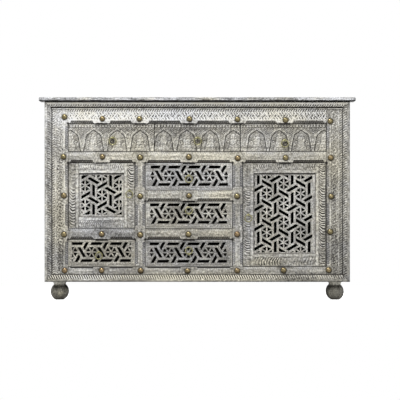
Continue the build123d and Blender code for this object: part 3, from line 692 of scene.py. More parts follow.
def wire_box_mask(graph: Graph, given: bpy.types.Node, out: bpy.types.Node) -> None:
    """1 inside a box of the object's own space, 0 outside it."""
    place = graph.parts(graph.add("ShaderNodeTexCoord").outputs["Object"])
    low = graph.parts(given.outputs["Low"])
    high = graph.parts(given.outputs["High"])
    result: object = 1.0
    for axis in range(3):
        above = graph.math("GREATER_THAN", place[axis], low[axis])
        below = graph.math("LESS_THAN", place[axis], high[axis])
        result = graph.times(result, graph.times(above, below))
    graph.put(out.inputs["Mask"], result)


BOX_MASK = Effect(
    "box_mask",
    (("Low", VECTOR, (0.0, 0.0, 0.0)), ("High", VECTOR, (0.0, 0.0, 0.0))),
    (("Mask", FLOAT),),
    wire_box_mask,
)


def wire_tarnish(graph: Graph, given: bpy.types.Node, out: bpy.types.Node) -> None:
    """Brass that has browned in patches and along its rims."""
    place = graph.add("ShaderNodeTexCoord").outputs["Object"]
    cloud = graph.noise(place, scale=45.0)
    speck = graph.noise(place, scale=700.0, detail=2.0)
    amount = graph.total(
        given.outputs["Dulling"],
        graph.times(cloud, 1.1),
        graph.times(speck, 0.7),
    )
    brown = graph.step(amount, low=0.0, high=1.0)
    graph.put(out.inputs["Color"], graph.mix(brown, given.outputs["Bright"], given.outputs["Dull"]))
    graph.put(out.inputs["Roughness"], graph.math("MULTIPLY_ADD", brown, 0.3, 0.24))
    graph.put(out.inputs["Height"], speck)


TARNISH = Effect(
    "tarnish",
    (
        ("Dulling", FLOAT, 0.3),
        ("Bright", COLOUR, (0.6, 0.5, 0.2, 1)),
        ("Dull", COLOUR, (0.12, 0.1, 0.04, 1)),
    ),
    (("Color", COLOUR), ("Roughness", FLOAT), ("Height", FLOAT)),
    wire_tarnish,
)


def new_material(name: str) -> tuple[bpy.types.Material, Graph, bpy.types.Node]:
    """An empty material with its graph and its Principled shader."""
    material = bpy.data.materials.new(name)
    material.use_nodes = True
    graph = Graph(material.node_tree)
    shader = material.node_tree.nodes["Principled BSDF"]
    return material, graph, shader


def add_bump(graph: Graph, shader: bpy.types.Node, height: object, distance: float) -> None:
    """Feeds the shader's normal from a height."""
    bump = graph.add("ShaderNodeBump")
    bump.inputs["Strength"].default_value = BUMP_STRENGTH
    bump.inputs["Distance"].default_value = distance
    graph.put(bump.inputs["Height"], height)
    graph.put(shader.inputs["Normal"], bump.outputs["Normal"])


BUMP_STRENGTH = 0.6


class Grain(Enum):
    """Which way a board's grain runs; the value stretches its streaks."""

    ALONG_X = (7.0, 75.0, 75.0)
    ALONG_Y = (75.0, 7.0, 75.0)
    ALONG_Z = (75.0, 75.0, 7.0)


@dataclass(frozen=True)
class Shade:
    """Painted shade inside a box of the piece's space, or outside it."""

    low: tuple[float, float, float]
    high: tuple[float, float, float]
    amount: float = 1.0
    inside: bool = True

    def place(self, graph: Graph) -> bpy.types.NodeSocket:
        """Adds the shade to a material's graph."""
        mask: object = BOX_MASK.place(graph, Low=self.low, High=self.high).outputs["Mask"]
        if not self.inside:
            mask = graph.math("SUBTRACT", 1.0, mask)
        return graph.times(mask, self.amount)


@dataclass(frozen=True)
class Finish:
    """A material of the cabinet, made the first time it is asked for."""

    name: str

    def build(self) -> bpy.types.Material:
        """The material."""
        known = bpy.data.materials.get(self.name)
        if known is not None:
            return known
        material, graph, shader = new_material(self.name)
        self.wire(graph, shader)
        return material

    def wire(self, graph: Graph, shader: bpy.types.Node) -> None:
        """Lays out the nodes that feed the shader, in each finish's own way."""
        raise NotImplementedError(self.name)


@dataclass(frozen=True)
class LimedWood(Finish):
    """Limewashed carved wood: pale on its ridges, brown-grey in its cuts."""

    cover: float = 0.0
    warmth: float = 0.0
    grain: Grain = Grain.ALONG_X
    coarse: float = 1.0
    pale: Colour = (0.76, 0.755, 0.74)
    mid: Colour = (0.265, 0.26, 0.25)
    deep: Colour = (0.036, 0.034, 0.032)
    carved: bool = True
    gloss: float = 0.25
    shades: tuple[Shade, ...] = ()

    def wire(self, graph: Graph, shader: bpy.types.Node) -> None:
        """Worn lime, led by the carving's tones and by the painted shades."""
        tones: dict[str, object] = {}
        if self.carved:
            tones = {name.capitalize(): graph.reader(name) for name in TONES}
        if self.shades:
            shades = [shade.place(graph) for shade in self.shades]
            tones["Stain"] = graph.total(tones.get("Stain", 0.0), *shades)
        lime = WORN_LIME.place(
            graph,
            Cover=self.cover,
            Warmth=self.warmth,
            Coarse=self.coarse,
            Grain=self.grain.value,
            Deep=self.deep,
            Mid=self.mid,
            Pale=self.pale,
            **tones,
        )
        graph.put(shader.inputs["Base Color"], lime.outputs["Color"])
        graph.put(shader.inputs["Roughness"], lime.outputs["Roughness"])
        shader.inputs["Specular IOR Level"].default_value = self.gloss
        add_bump(graph, shader, lime.outputs["Height"], 0.5 * MM)


def upright_lime(name: str, cover: float, warmth: float) -> LimedWood:
    """Limed wood whose grain runs up."""
    return LimedWood(name, cover, warmth, Grain.ALONG_Z)


@dataclass(frozen=True)
class StainedShadedWood(Finish):
    """Dark stained wood of the case's inside and the drawer boxes, so near black that it is painted
    shade as well as staining.
    """

    tone: Colour = (0.0080, 0.0068, 0.0055)
    light: Colour = (0.014, 0.011, 0.0085)
    grain: Grain = Grain.ALONG_Y
    roughness: float = 0.7
    gloss: float = 0.2

    def wire(self, graph: Graph, shader: bpy.types.Node) -> None:
        """Two dark tones that alternate along the grain."""
        place = graph.add("ShaderNodeTexCoord").outputs["Object"]
        streak = graph.noise(graph.scaled(place, self.grain.value), scale=1.0, detail=6.0)
        share = graph.step(streak, low=-0.25, high=0.3)
        graph.put(shader.inputs["Base Color"], graph.mix(share, self.tone, self.light))
        shader.inputs["Roughness"].default_value = self.roughness
        shader.inputs["Specular IOR Level"].default_value = self.gloss
        add_bump(graph, shader, streak, 0.4 * MM)


@dataclass(frozen=True)
class AgedMetal(Finish):
    """Brass, or steel, browned by age."""

    bright: Colour
    dull: Colour
    copper: Colour | None = None
    grime: float = 0.35
    metallic: float = 0.85

    def wire(self, graph: Graph, shader: bpy.types.Node) -> None:
        """Tarnish, led by the mesh's own patina and painted shade where the metal has a copper
        tone.
        """
        grime: object = self.grime
        bright: object = self.bright
        if self.copper is not None:
            grime = graph.reader("grime")
            bright = graph.mix(graph.reader("copper"), self.bright, self.copper)
        tarnish = TARNISH.place(graph, Dulling=grime, Bright=bright, Dull=self.dull)
        graph.put(shader.inputs["Base Color"], tarnish.outputs["Color"])
        graph.put(shader.inputs["Roughness"], tarnish.outputs["Roughness"])
        shader.inputs["Metallic"].default_value = self.metallic
        add_bump(graph, shader, tarnish.outputs["Height"], 0.1 * MM)


# ---------------------------------------------------------------- the case's sizes
class CaseSizes:
    """Places that several sub-assemblies share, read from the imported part."""

    face_y = node_depth("frame_rail_top").low
    frame_back = node_depth("frame_rail_top").high
    front_gap = 1.5 * MM
    skin = 0.4 * MM
    mouth = 30 * MM
    studs = spots("frame_studs", node_depth("frame_studs").low)

    @staticmethod
    def columns() -> list[float]:
        """Middles of the bays and of the stiles between them."""
        bays = [node_rect(name).x.middle for name in BAY_NODES]
        stiles = [node_rect(f"frame_stile_mid_{side}").x.middle for side in ("left", "right")]
        return [*bays, *stiles]

    @staticmethod
    def rows() -> list[float]:
        """Middles of the rails that cross the front."""
        both = node_rect("frame_rails_centre").z
        lower = node_rect("frame_rail_left").z
        return [node_rect("frame_rail_upper").z.middle, both.high - lower.size / 2, lower.middle]

    @classmethod
    def inside(cls) -> tuple[tuple[float, ...], tuple[float, ...]]:
        """Corners of the space inside the case, a little past its inner faces."""
        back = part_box("back_panel")
        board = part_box("bottom_board")
        low = (back[0].x - cls.skin, cls.frame_back - cls.mouth, board[0].z - cls.skin)
        high = (back[1].x + cls.skin, back[0].y + cls.skin, back[1].z + cls.skin)
        return low, high


# ---------------------------------------------------------------- face frame
@dataclass(frozen=True)
class Chamfer:
    """One stopped chamfer beside an opening."""

    level: bool
    edge: float
    side: int
    run: Span
    width: float = 14 * MM
    depth: float = 10 * MM
    stop: float = 12 * MM
    roundness: float = 2.4
    hatch_pitch: float = 8.2 * MM
    hatch_lean: float = 17 * MM

    @property
    def hooded(self) -> bool:
        """True for a chamfer over an opening, which faces down."""
        return self.level and self.side > 0

    def read(self, x: Array, z: Array) -> tuple[Array, Array, Array]:
        """How far points lie inside it, out from its edge and along it.

        Args:
            x: Across.
            z: Up.

        Returns:
            The distance inside its outline (less than 0 outside), the distance out
            from the opening's edge, and the place along it.
        """
        along, out = (x, z) if self.level else (z, x)
        out = self.side * (out - self.edge)
        share = np.clip(out / self.width, 0, 1)
        corner = self.stop * np.sqrt(np.clip(1 - (1 - share) ** self.roundness, 0, 1))
        inside = np.minimum(along - self.run.low - corner, self.run.high - along - corner)
        inside = np.minimum(inside, self.width - out)
        return np.where(out < -MM, -1.0, inside), out, along


@dataclass
class Motifs:
    """Carved borders and bands of the frame, in the plane of its face."""

    tooth_pitch: float = 10.4 * MM
    tooth_band: float = 11 * MM
    tooth_lean: float = 0.6
    zigzag_period: float = 54 * MM
    petal_turn: float = 34.0
    petal_reach: tuple[float, float] = (10 * MM, 25 * MM)
    nick_rows: tuple[float, ...] = (5 * MM, 16 * MM, 27 * MM)
    nick_pitch: float = 12.6 * MM
    curl_step: float = 28 * MM
    curl_pitch: float = 9.2 * MM
    leaf_pitch: float = 9.6 * MM

    def teeth(self, face: Face, inward: Array, along: Array, strength: float) -> None:
        """A border of slanted teeth along an edge of the frame.

        Args:
            face: The face to carve.
            inward: Distance from the edge.
            along: Place along the edge.
            strength: How strongly they show.
        """
        mask = band(inward, 1.2 * MM, self.tooth_band, 0.8 * MM)
        phase = along / self.tooth_pitch + self.tooth_lean * inward / self.tooth_band
        tooth = smooth(0.15, 0.55, wave(phase))
        face.cut(mask * (1 - tooth), depth=2.4 * MM, tone=0.85 * strength)
        face.cut(mask * tooth, depth=0.0, tone=-0.4 * strength)
        line = ridge(inward - self.tooth_band - 1.4 * MM, 1.4 * MM)
        face.cut(line, depth=1.2 * MM, tone=0.3 * strength)

    def palmettes(self, face: Face, up: Array, along: Array, height: float) -> None:
        """A zigzag stem with a three-leaved palmette in every triangle.

        Args:
            face: The face to carve.
            up: Height in the band.
            along: Place along the band.
            height: The band's height.
        """
        inside = band(up, 0.0, height, 0.6 * MM)
        phase = along / self.zigzag_period
        line = zigzag(phase) * height
        slope = 2 * height / self.zigzag_period
        off = (up - line) / math.sqrt(1 + slope * slope)
        clear = smooth(3.0 * MM, 5.0 * MM, np.abs(off))
        face.cut(inside, depth=0.2 * MM, tone=-0.36)
        stem = ridge(np.abs(off) - 3.2 * MM, 2.2 * MM)
        face.cut(inside * stem, depth=1.4 * MM, tone=0.5)
        above = up > line
        apex_phase = np.where(above, np.rint(phase), np.floor(phase) + 0.5)
        out = along - apex_phase * self.zigzag_period
        rise = np.where(above, up, height - up)
        radius = np.hypot(out, rise)
        angle = np.degrees(np.arctan2(out, np.maximum(rise, HAIR)))
        petal = smooth(0.45, 0.9, wave(angle / self.petal_turn + 0.5))
        petal *= band(radius, *self.petal_reach, 3 * MM)
        face.cut(petal * clear * inside, depth=1.8 * MM, tone=0.36)
        for number, place in enumerate(self.nick_rows):
            hand = 1 - 2 * (number % 2)
            slant = (along + 0.6 * hand * (up - place)) / self.nick_pitch + 0.5 * number
            nick = smooth(0.45, 0.8, wave(slant)) * smooth(0.1, 0.5, ridge(up - place, 6.5 * MM))
            face.cut(nick * clear * inside, depth=1.6 * MM, tone=0.86)
        bud = ridge(radius - 5.0 * MM, 3.4 * MM) * clear
        face.cut(bud * inside, depth=1.2 * MM, tone=0.45)

    def vine(self, face: Face, across: Array, along: Array, width: float, strength: float) -> None:
        """A vine of curls that turn to either side of a wavy stem.

        Args:
            face: The face to carve.
            across: Place across the band, 0 in its middle.
            along: Place along the band.
            width: The band's width.
            strength: How strongly it shows.
        """
        inside = fall(width / 2, width / 2 + 0.8 * MM, np.abs(across))
        number = np.rint(along / self.curl_step)
        hand = np.where(number % 2 == 0, 1.0, -1.0)
        u = across - hand * 3.5 * MM
        v = along - number * self.curl_step
        radius = np.hypot(u, v)
        angle = np.arctan2(v, u * hand)
        curl = wave(radius / self.curl_pitch - angle / TURN + 0.15)
        leaf = wave((across * hand + 0.8 * v) / self.leaf_pitch)
        near = fall(12 * MM, 15 * MM, radius)
        rough = 0.45 * Ripple(61, 9 * MM).at(across, along)
        pattern = smooth(0.25, 0.75, 0.8 * (near * curl + (1 - near) * leaf) + 0.1 + rough)
        face.cut(inside, depth=2.0 * MM, tone=0.34 * strength)
        face.cut(inside * pattern, depth=-2.0 * MM, tone=-0.58 * strength)
        face.cut(inside * ridge(radius, 3.6 * MM), depth=1.2 * MM, tone=0.3 * strength)


@dataclass
class FaceFrame:
    """Stiles and rails of the front, with stopped chamfers and carved bands."""

    cell: float = 1.45 * MM
    cross_rail: float = 50 * MM
    bump: float = 54 * MM
    rub_reach: float = 6 * MM
    palmette_band: tuple[float, float] = (18 * MM, 33 * MM)
    vine_band: tuple[float, float] = (34 * MM, 28 * MM)
    motifs: Motifs = field(default_factory=Motifs)
    openings: list[Rect] = field(init=False)
    chamfers: list[Chamfer] = field(init=False)

    def __post_init__(self) -> None:
        """Finds the openings and the chamfers round them."""
        fronts = [node_rect(name) for name in OPENING_NODES]
        top = [node_rect(f"{name}_front") for name in TOP_DRAWERS]
        whole = Rect(Span(top[0].x.low, top[-1].x.high), top[0].z)
        self.openings = [rect.shrunk(-CaseSizes.front_gap) for rect in (whole, *fronts)]
        self.chamfers = [cut for opening in self.openings for cut in self.chamfers_of(opening)]

    def chamfers_of(self, opening: Rect) -> list[Chamfer]:
        """Every chamfer run round one opening, between its stud bumps."""
        cuts = []
        sides = (
            (True, -1, opening.z.low, opening.x),
            (True, 1, opening.z.high, opening.x),
            (False, -1, opening.x.low, opening.z),
            (False, 1, opening.x.high, opening.z),
        )
        for level, side, edge, span in sides:
            stops = set()
            for stud in CaseSizes.studs:
                along, out = stud if level else (stud[1], stud[0])
                if 0 < side * (out - edge) < self.cross_rail and span.holds(along):
                    stops.add(round(self.squared(along, level), 4))
            ends = [span.low]
            for stop in sorted(stops):
                ends += [stop - self.bump / 2, stop + self.bump / 2]
            ends.append(span.high)
            runs = [Span(a, b) for a, b in zip(ends[0::2], ends[1::2])]
            cuts += [Chamfer(level, edge, side, run) for run in runs]
        return cuts

    @staticmethod
    def squared(along: float, level: bool) -> float:
        """The middle of the member or opening that a stud's place was meant for."""
        mids = CaseSizes.columns() if level else CaseSizes.rows()
        return min(mids, key=lambda middle: abs(middle - along))

    def shape_edges(self, face: Face, shade: "EdgeShade") -> None:
        """Cuts the chamfers with their hatching, gives them painted light and shade by the way they
        face, with staining under the hoods, and rubs their arrises pale.
        """
        for chamfer in self.chamfers:
            inside, out, along = chamfer.read(face.x, face.z)
            if inside.max() <= -self.rub_reach:
                continue
            tone = CHAMFER_TONES[(chamfer.level, chamfer.side)]
            mask = smooth(-0.2 * MM, 1.3 * MM, inside)
            slope = chamfer.depth * (1 - np.clip(out / chamfer.width, 0, 1))
            phase = along / chamfer.hatch_pitch + out / chamfer.hatch_lean
            hatch = smooth(0.3, 0.9, wave(phase))
            plain = slope + 0.9 * MM * hatch * smooth(0, 3 * MM, inside)
            face.settle(
                mask,
                depth=np.maximum(plain, 0.2 * MM),
                relief=tone.relief - tone.hatch * (hatch - 0.4),
                stain=shade.hood_at(face.x) if chamfer.hooded else tone.stain,
                tint=tone.tint,
            )
            face.darken(self.edge_grime(chamfer, shade, out) * mask)
            rim = ridge(inside + 1.2 * MM, 3.2 * MM) * (1 - mask)
            face.rub(ARRIS_RUB * rim)
            face.depth += rim * 0.35 * MM
            foot = ridge(inside - 0.6 * MM, 1.8 * MM) * smooth(5 * MM, 9 * MM, out)
            face.cut(foot * mask, depth=0.4 * MM, tone=tone.foot)

    def edge_grime(self, chamfer: Chamfer, shade: "EdgeShade", out: Array) -> Array:
        """Painted shade on a level chamfer: along a hood's lip, or on a sill left of the right bay.

        Args:
            chamfer: The chamfer.
            shade: How much painted shade its member has.
            out: Distance out from the opening's edge.

        Returns:
            The darkening at each point.
        """
        if chamfer.hooded:
            return shade.lip * fall(2.6 * MM, 5.4 * MM, out)
        if chamfer.level and chamfer.run.low < self.openings[-1].x.low:
            return shade.sill * band(out, 1.2 * MM, 5.6 * MM, 1 * MM)
        return np.zeros_like(out)

    def darken_joints(self, face: Face) -> None:
        """A dark line in the gap round every opening, painted shadow under the stud bumps above it,
        and painted shade in its upper corners.
        """
        for opening in self.openings:
            out = opening.outside(face.x, face.z)
            line = 0.8 * fall(0.8 * MM, 2.2 * MM, out)
            # painted shadow under the stud bumps
            bumps = 1.3 * fall(2.0 * MM, 3.6 * MM, out) * (face.z > opening.z.high - MM)
            line = np.maximum(line, bumps * under_bumps(face.x))
            face.darken(np.where(out > -MM, line, 0))
            # painted shade in the upper corners
            for corner in (opening.x.low, opening.x.high):
                near = np.hypot(face.x - corner, face.z - opening.z.high)
                face.darken(1.1 * fall(4 * MM, 8 * MM, near))

    @staticmethod
    def calm_studs(face: Face) -> None:
        """Keeps the carving off the flat round each stud."""
        for x, z in CaseSizes.studs:
            radius = np.hypot(face.x - x, face.z - z)
            face.settle(fall(14.2 * MM, 16.5 * MM, radius), depth=0.0, relief=FLAT_RELIEF)
            face.cut(ridge(radius - 14.6 * MM, 1.6 * MM), depth=0.3 * MM, tone=0.35)

    @staticmethod
    def plane_face(face: Face, rect: Rect, seed: int) -> None:
        """Leaves the waves of a hand plane and a small bevel at the joints."""
        face.plane(0.25 * MM, Ripple(seed, 60 * MM))
        face.relief += 0.10 * Ripple(seed + 1, 12 * MM).at(face.x, face.z)
        joint = fall(0.0, 1.6 * MM, -rect.outside(face.x, face.z))
        face.cut(joint, depth=0.9 * MM, tone=0.35)

    def carve_top_rail(self, face: Face, rect: Rect) -> None:
        """Teeth along the upper edge and palmettes under them."""
        wobble = 0.5 * MM * Ripple(5, 40 * MM).at(face.x, face.z)
        along = face.x + wobble
        self.motifs.teeth(face, rect.z.high - face.z, along, strength=0.85)
        start, height = self.palmette_band
        low = rect.z.low + start
        self.motifs.palmettes(face, face.z - low + wobble, along, height)

    def carve_outer_stile(self, face: Face, rect: Rect, side: int) -> None:
        """Teeth along the outer edge and a vine inside them."""
        outward = rect.x.high if side > 0 else rect.x.low
        inward = side * (outward - face.x)
        wobble = 0.6 * MM * Ripple(9 + side, 35 * MM).at(face.x, face.z)
        strength = STILE_STRENGTH[side]
        self.motifs.teeth(face, inward, face.z * side, 0.42 * strength)
        middle, width = self.vine_band
        self.motifs.vine(face, inward - middle + wobble, face.z + wobble, width, strength)
        broken = 0.5 + 0.5 * Ripple(13 + side, 70 * MM).at(face.x, face.z)
        for low, high in ((13.4 * MM, 18.6 * MM), (50 * MM, 54.5 * MM)):
            streak = band(inward, low, high, 1.2 * MM) * np.clip(broken, 0, 1)
            face.cut(streak, depth=-0.3 * MM, tone=-0.22)

    def members(self) -> list[tuple[str, Rect, tuple[str, ...]]]:
        """Name, rectangle and replaced nodes of each member."""
        left, right = node_rect("frame_stile_left"), node_rect("frame_stile_right")
        bays = Span(left.x.high, right.x.low)
        centre = self.openings[CENTRE_OPENING].x
        left_bay = self.openings[LEFT_OPENING].x
        both = node_rect("frame_rails_centre").z
        lower = node_rect("frame_rail_left").z
        upper = node_rect("frame_rail_upper").z
        bottom = node_rect("frame_rail_bottom").z
        mid_z = Span(bottom.high, upper.low)
        mid_left, mid_right = node_rect("frame_stile_mid_left"), node_rect("frame_stile_mid_right")
        middle = Span(both.high - self.cross_rail, both.high)
        return [
            ("carved_stile_left", left, ("frame_stile_left",)),
            ("carved_stile_right", right, ("frame_stile_right",)),
            ("carved_top_rail", Rect(bays, node_rect("frame_rail_top").z), ("frame_rail_top",)),
            ("planed_upper_rail", Rect(bays, upper), ("frame_rail_upper",)),
            ("planed_bottom_rail", Rect(bays, bottom), ("frame_rail_bottom",)),
            ("planed_left_rail", Rect(left_bay, lower), ("frame_rail_left",)),
            ("planed_centre_rail_high", Rect(centre, middle), ("frame_rails_centre",)),
            ("planed_centre_rail_low", Rect(centre, lower), ("frame_rails_centre",)),
            ("planed_stile_mid_left", Rect(mid_left.x, mid_z), ("frame_stile_mid_left",)),
            ("planed_stile_mid_right", Rect(mid_right.x, mid_z), ("frame_stile_mid_right",)),
        ]

    def chamfer_marks(self) -> tuple[tuple[float, ...], tuple[float, ...]]:
        """Grid lines that the outer edges of the chamfers need, across and up."""
        marks: tuple[list[float], list[float]] = ([], [])
        for chamfer in self.chamfers:
            outer = chamfer.edge + chamfer.side * chamfer.width
            marks[1 if chamfer.level else 0].append(round(outer, 5))
        return tuple(marks[0]), tuple(marks[1])

    def build(self) -> list[bpy.types.Object]:
        """Carves every member."""
        made = []
        marks = self.chamfer_marks()
        depth = Span(CaseSizes.face_y, CaseSizes.frame_back)
        for number, (name, rect, nodes) in enumerate(self.members()):
            slab = CarvedSlab(name, rect, depth, self.cell, marks)
            piece = slab.build(lambda face, r=rect, n=name, k=number: self.carve(face, r, n, k))
            made.append(fit(piece, FRAME_FINISHES[name], "limed_carved_wood", "case", *nodes))
        return made

    def carve(self, face: Face, rect: Rect, name: str, number: int) -> None:
        """Carves one member's face."""
        self.plane_face(face, rect, seed=20 + 3 * number)
        if name == "carved_top_rail":
            self.carve_top_rail(face, rect)
        if name == "carved_stile_left":
            self.carve_outer_stile(face, rect, -1)
        if name == "carved_stile_right":
            self.carve_outer_stile(face, rect, 1)
        self.calm_studs(face)
        self.shape_edges(face, EDGE_SHADES.get(name, EdgeShade()))
        self.darken_joints(face)


# how strongly the carving of the left and right outer stile shows
STILE_STRENGTH = {-1: 0.76, 1: 0.54}
ARRIS_RUB = 0.35


@dataclass(frozen=True)
class EdgeShade:
    """Painted shade on a member's chamfers: under its hoods, where staining adds to it, at their
    feet and on its sills.
    """

    hood: float = 0.4
    lip: float = 0.4
    sill: float = 0.0
    fade: float = 0.0
    fading: tuple[float, float] = (-0.05, 0.25)

    def hood_at(self, x: Array) -> Array:
        """Staining and painted shade under the hoods, less of it towards the right."""
        return self.hood - self.fade * smooth(*self.fading, x)


# painted shade on each member's chamfers, with staining under the hoods
EDGE_SHADES = {
    "carved_top_rail": EdgeShade(hood=0.82, lip=0.8, fade=0.34),
    "planed_upper_rail": EdgeShade(hood=0.78, lip=0.9, sill=0.2, fade=0.1),
    "planed_centre_rail_high": EdgeShade(hood=0.46, lip=0.2, sill=0.3),
    "planed_centre_rail_low": EdgeShade(hood=0.36, lip=1.1, sill=0.6),
    "planed_left_rail": EdgeShade(hood=0.42, lip=0.9, sill=0.2),
    "planed_bottom_rail": EdgeShade(hood=0.3, lip=0.3, sill=1.5),
}


@dataclass(frozen=True)
class ChamferTone:
    """How a chamfer that faces one way takes lime, and its staining unless it is hooded; paler
    facing up and darker facing down, as painted light and shade.
    """

    relief: float
    hatch: float
    tint: float
    foot: float
    stain: float = 0.0


# up-facing chamfers are limed paler and down-facing ones darker, as painted light and shade;
# upright ones take a middle tone
UPRIGHT_CHAMFER = ChamferTone(relief=0.52, hatch=0.34, tint=-0.7, foot=0.15, stain=0.10)
CHAMFER_TONES = {
    (True, 1): ChamferTone(relief=0.38, hatch=0.45, tint=0.1, foot=0.1),
    (True, -1): ChamferTone(relief=0.72, hatch=0.20, tint=-0.3, foot=0.10),
    (False, 1): UPRIGHT_CHAMFER,
    (False, -1): UPRIGHT_CHAMFER,
}

TOP_DRAWERS = ("top_left_drawer", "top_middle_drawer", "top_right_drawer")
CENTRE_DRAWERS = ("centre_upper_drawer", "centre_middle_drawer", "centre_lower_drawer")
PIERCED_DRAWERS = (*CENTRE_DRAWERS, "left_drawer")
DOORS = ("left_door", "right_door")
OPENING_NODES = (
    "left_door_frame",
    "left_drawer_front",
    *(f"{name}_front" for name in CENTRE_DRAWERS),
    "right_door_frame",
)
LEFT_OPENING = 1
CENTRE_OPENING = 3
BAY_NODES = ("left_drawer_front", "centre_upper_drawer_front", "right_door_frame")

FRAME_FINISHES = {
    "carved_top_rail": LimedWood("lime_top_rail", cover=0.16, warmth=-0.1),
    "carved_stile_left": upright_lime("lime_stile_left", cover=0.04, warmth=0.2),
    "carved_stile_right": upright_lime("lime_stile_right", cover=-0.06, warmth=0.1),
    "planed_upper_rail": LimedWood("lime_upper_rail", cover=0.0, warmth=0.2),
    "planed_bottom_rail": LimedWood("lime_bottom_rail", cover=-0.06, warmth=0.1),
    "planed_left_rail": LimedWood("lime_left_rail", cover=-0.14, warmth=-0.2),
    "planed_centre_rail_high": LimedWood("lime_centre_rail_high", cover=-0.02, warmth=0.3),
    "planed_centre_rail_low": LimedWood("lime_centre_rail_low", cover=-0.08, warmth=0.5),
    "planed_stile_mid_left": upright_lime("lime_mid_left", cover=-0.02, warmth=0.2),
    "planed_stile_mid_right": upright_lime("lime_mid_right", cover=-0.03, warmth=0.0),
}


# ---------------------------------------------------------------- moulding
@dataclass
class Moulding:
    """Mitred moulding round the frame: a round outer arris and a roped inner slope."""

    node: str = "face_moulding"
    width: float = 34 * MM
    round_radius: float = 9 * MM
    flat_end: float = 14 * MM
    slope: float = 5 * MM
    cell: float = 1.45 * MM
    strips: tuple[tuple[str, bool, int], ...] = (
        ("moulding_top", True, 1),
        ("moulding_bottom", True, -1),
        ("moulding_left", False, -1),
        ("moulding_right", False, 1),
    )

    def lines_across(self) -> Array:
        """Grid lines from the outer edge to the inner one."""
        turns = np.linspace(0, math.pi / 2, 7)
        arc = self.round_radius * (1 - np.cos(turns))
        marks = (self.flat_end, self.width - 3 * MM)
        rest = grid_lines(Span(self.round_radius, self.width), self.cell * 0.9, marks)
        return np.concatenate([arc, rest[1:]])

    def profile(self, inward: Array) -> Array:
        """Depth of the plain moulding below its foremost face."""
        sloped = self.slope * np.clip((inward - self.flat_end) / (self.width - self.flat_end), 0, 1)
        return rounded(inward, self.round_radius) + sloped

    def carve(self, face: Face, inward: Array, along: Array, cuts: "StripCuts") -> None:
        """Cuts the rope and the quirk, rubs the outer arris pale, and paints shade in the quirk and
        in the cove under the top.

        Args:
            face: The strip's face.
            inward: Distance from the moulding's outer edge.
            along: Place along the strip.
            cuts: Where the strip's cuts lie.
        """
        face.depth += self.profile(inward)
        face.plane(0.2 * MM, Ripple(71, 50 * MM))
        face.relief += 0.09 * Ripple(72, 18 * MM).at(face.x, face.z)
        # the cove under the top, darkened with painted shadow
        if cuts.cove > 0:
            cove = fall(cuts.cove - 1 * MM, cuts.cove, inward)
            face.cut(cove, depth=6 * MM, tone=0.8)
            face.darken(1.9 * cove)
        face.rub(cuts.rub * band(inward, *cuts.streak, 1.5 * MM))
        first, last = cuts.rope
        share = np.clip((inward - first) / (last - first), 0, 1)
        rope = wave(along / cuts.pitch + 0.75 * share - cuts.curve * np.sin(math.pi * share))
        strand = smooth(0.25, 0.75, rope)
        mask = band(inward, first, last, 0.8 * MM)
        mask *= 1 + cuts.wane * (0.3 - smooth(0.1, 0.45, along))
        face.cut(mask * (1 - strand), depth=2.2 * MM, tone=cuts.dark)
        face.cut(mask * strand, depth=0.0, tone=-cuts.light)
        face.cut(ridge(inward - first + 1.0 * MM, 1.5 * MM), depth=0.8 * MM, tone=0.22)
        face.cut(fall(2.5 * MM, 4 * MM, inward), depth=0.0, tone=cuts.rim)
        # painted shade in the quirk
        groove = band(inward, *cuts.quirk, 1 * MM)
        face.cut(groove, depth=5 * MM, tone=0.45)
        face.darken(cuts.quirk_shade * groove)

    def strip(self, name: str, level: bool, side: int) -> bpy.types.Object:
        """One mitred strip.

        Args:
            name: The piece's name.
            level: Whether it runs along X.
            side: 1 for the upper or right strip, -1 for the lower or left one.

        Returns:
            The strip.
        """
        outer = node_rect(self.node)
        span, across = (outer.x, outer.z) if level else (outer.z, outer.x)
        edge = across.high if side > 0 else across.low
        half = span.size / 2
        lines = grid_lines(Span(-half, half), self.cell)
        sheet = Sheet(name, lines, self.lines_across(), node_depth(self.node))
        inward = sheet.up
        squeeze = (half - inward) / half
        along = sheet.across * squeeze
        mitre = fall(0, 1.6 * MM, (half - np.abs(sheet.across)) * squeeze)
        run, place = span.middle + along, edge - side * inward
        face = sheet.lay(run, place) if level else sheet.lay(place, run)
        front = slice(sheet.front)
        self.carve(face, inward[front], along[front], STRIP_CUTS[name])
        wash_patches(face)
        face.cut(mitre[front], depth=0.8 * MM, tone=0.7)
        piece = sheet.keep(face)
        face_outward(piece.data)
        return piece

    def build(self) -> list[bpy.types.Object]:
        """Makes the four strips."""
        made = []
        for name, level, side in self.strips:
            piece = self.strip(name, level, side)
            made.append(fit(piece, MOULDING_FINISHES[name], "limed_carved_wood", "case", self.node))
        return made


def face_outward(mesh: bpy.types.Mesh) -> None:
    """Turns every face of a closed mesh outward, as laying it out can turn it over."""
    bm = bmesh.new()
    bm.from_mesh(mesh)
    bmesh.ops.recalc_face_normals(bm, faces=bm.faces)
    bm.to_mesh(mesh)
    bm.free()


@dataclass(frozen=True)
class StripCuts:
    """Where one moulding strip is cut and rubbed, as distances from its outer edge, and how much
    painted shade its quirk takes.
    """

    streak: tuple[float, float] = (2 * MM, 11 * MM)
    rub: float = 0.3
    rope: tuple[float, float] = (13.5 * MM, 29 * MM)
    pitch: float = 10.8 * MM
    curve: float = 0.25
    dark: float = 0.30
    light: float = 0.12
    quirk: tuple[float, float] = (30.6 * MM, 35 * MM)
    quirk_shade: float = 0.45
    cove: float = 0.0
    rim: float = 0.0
    wane: float = 0.0


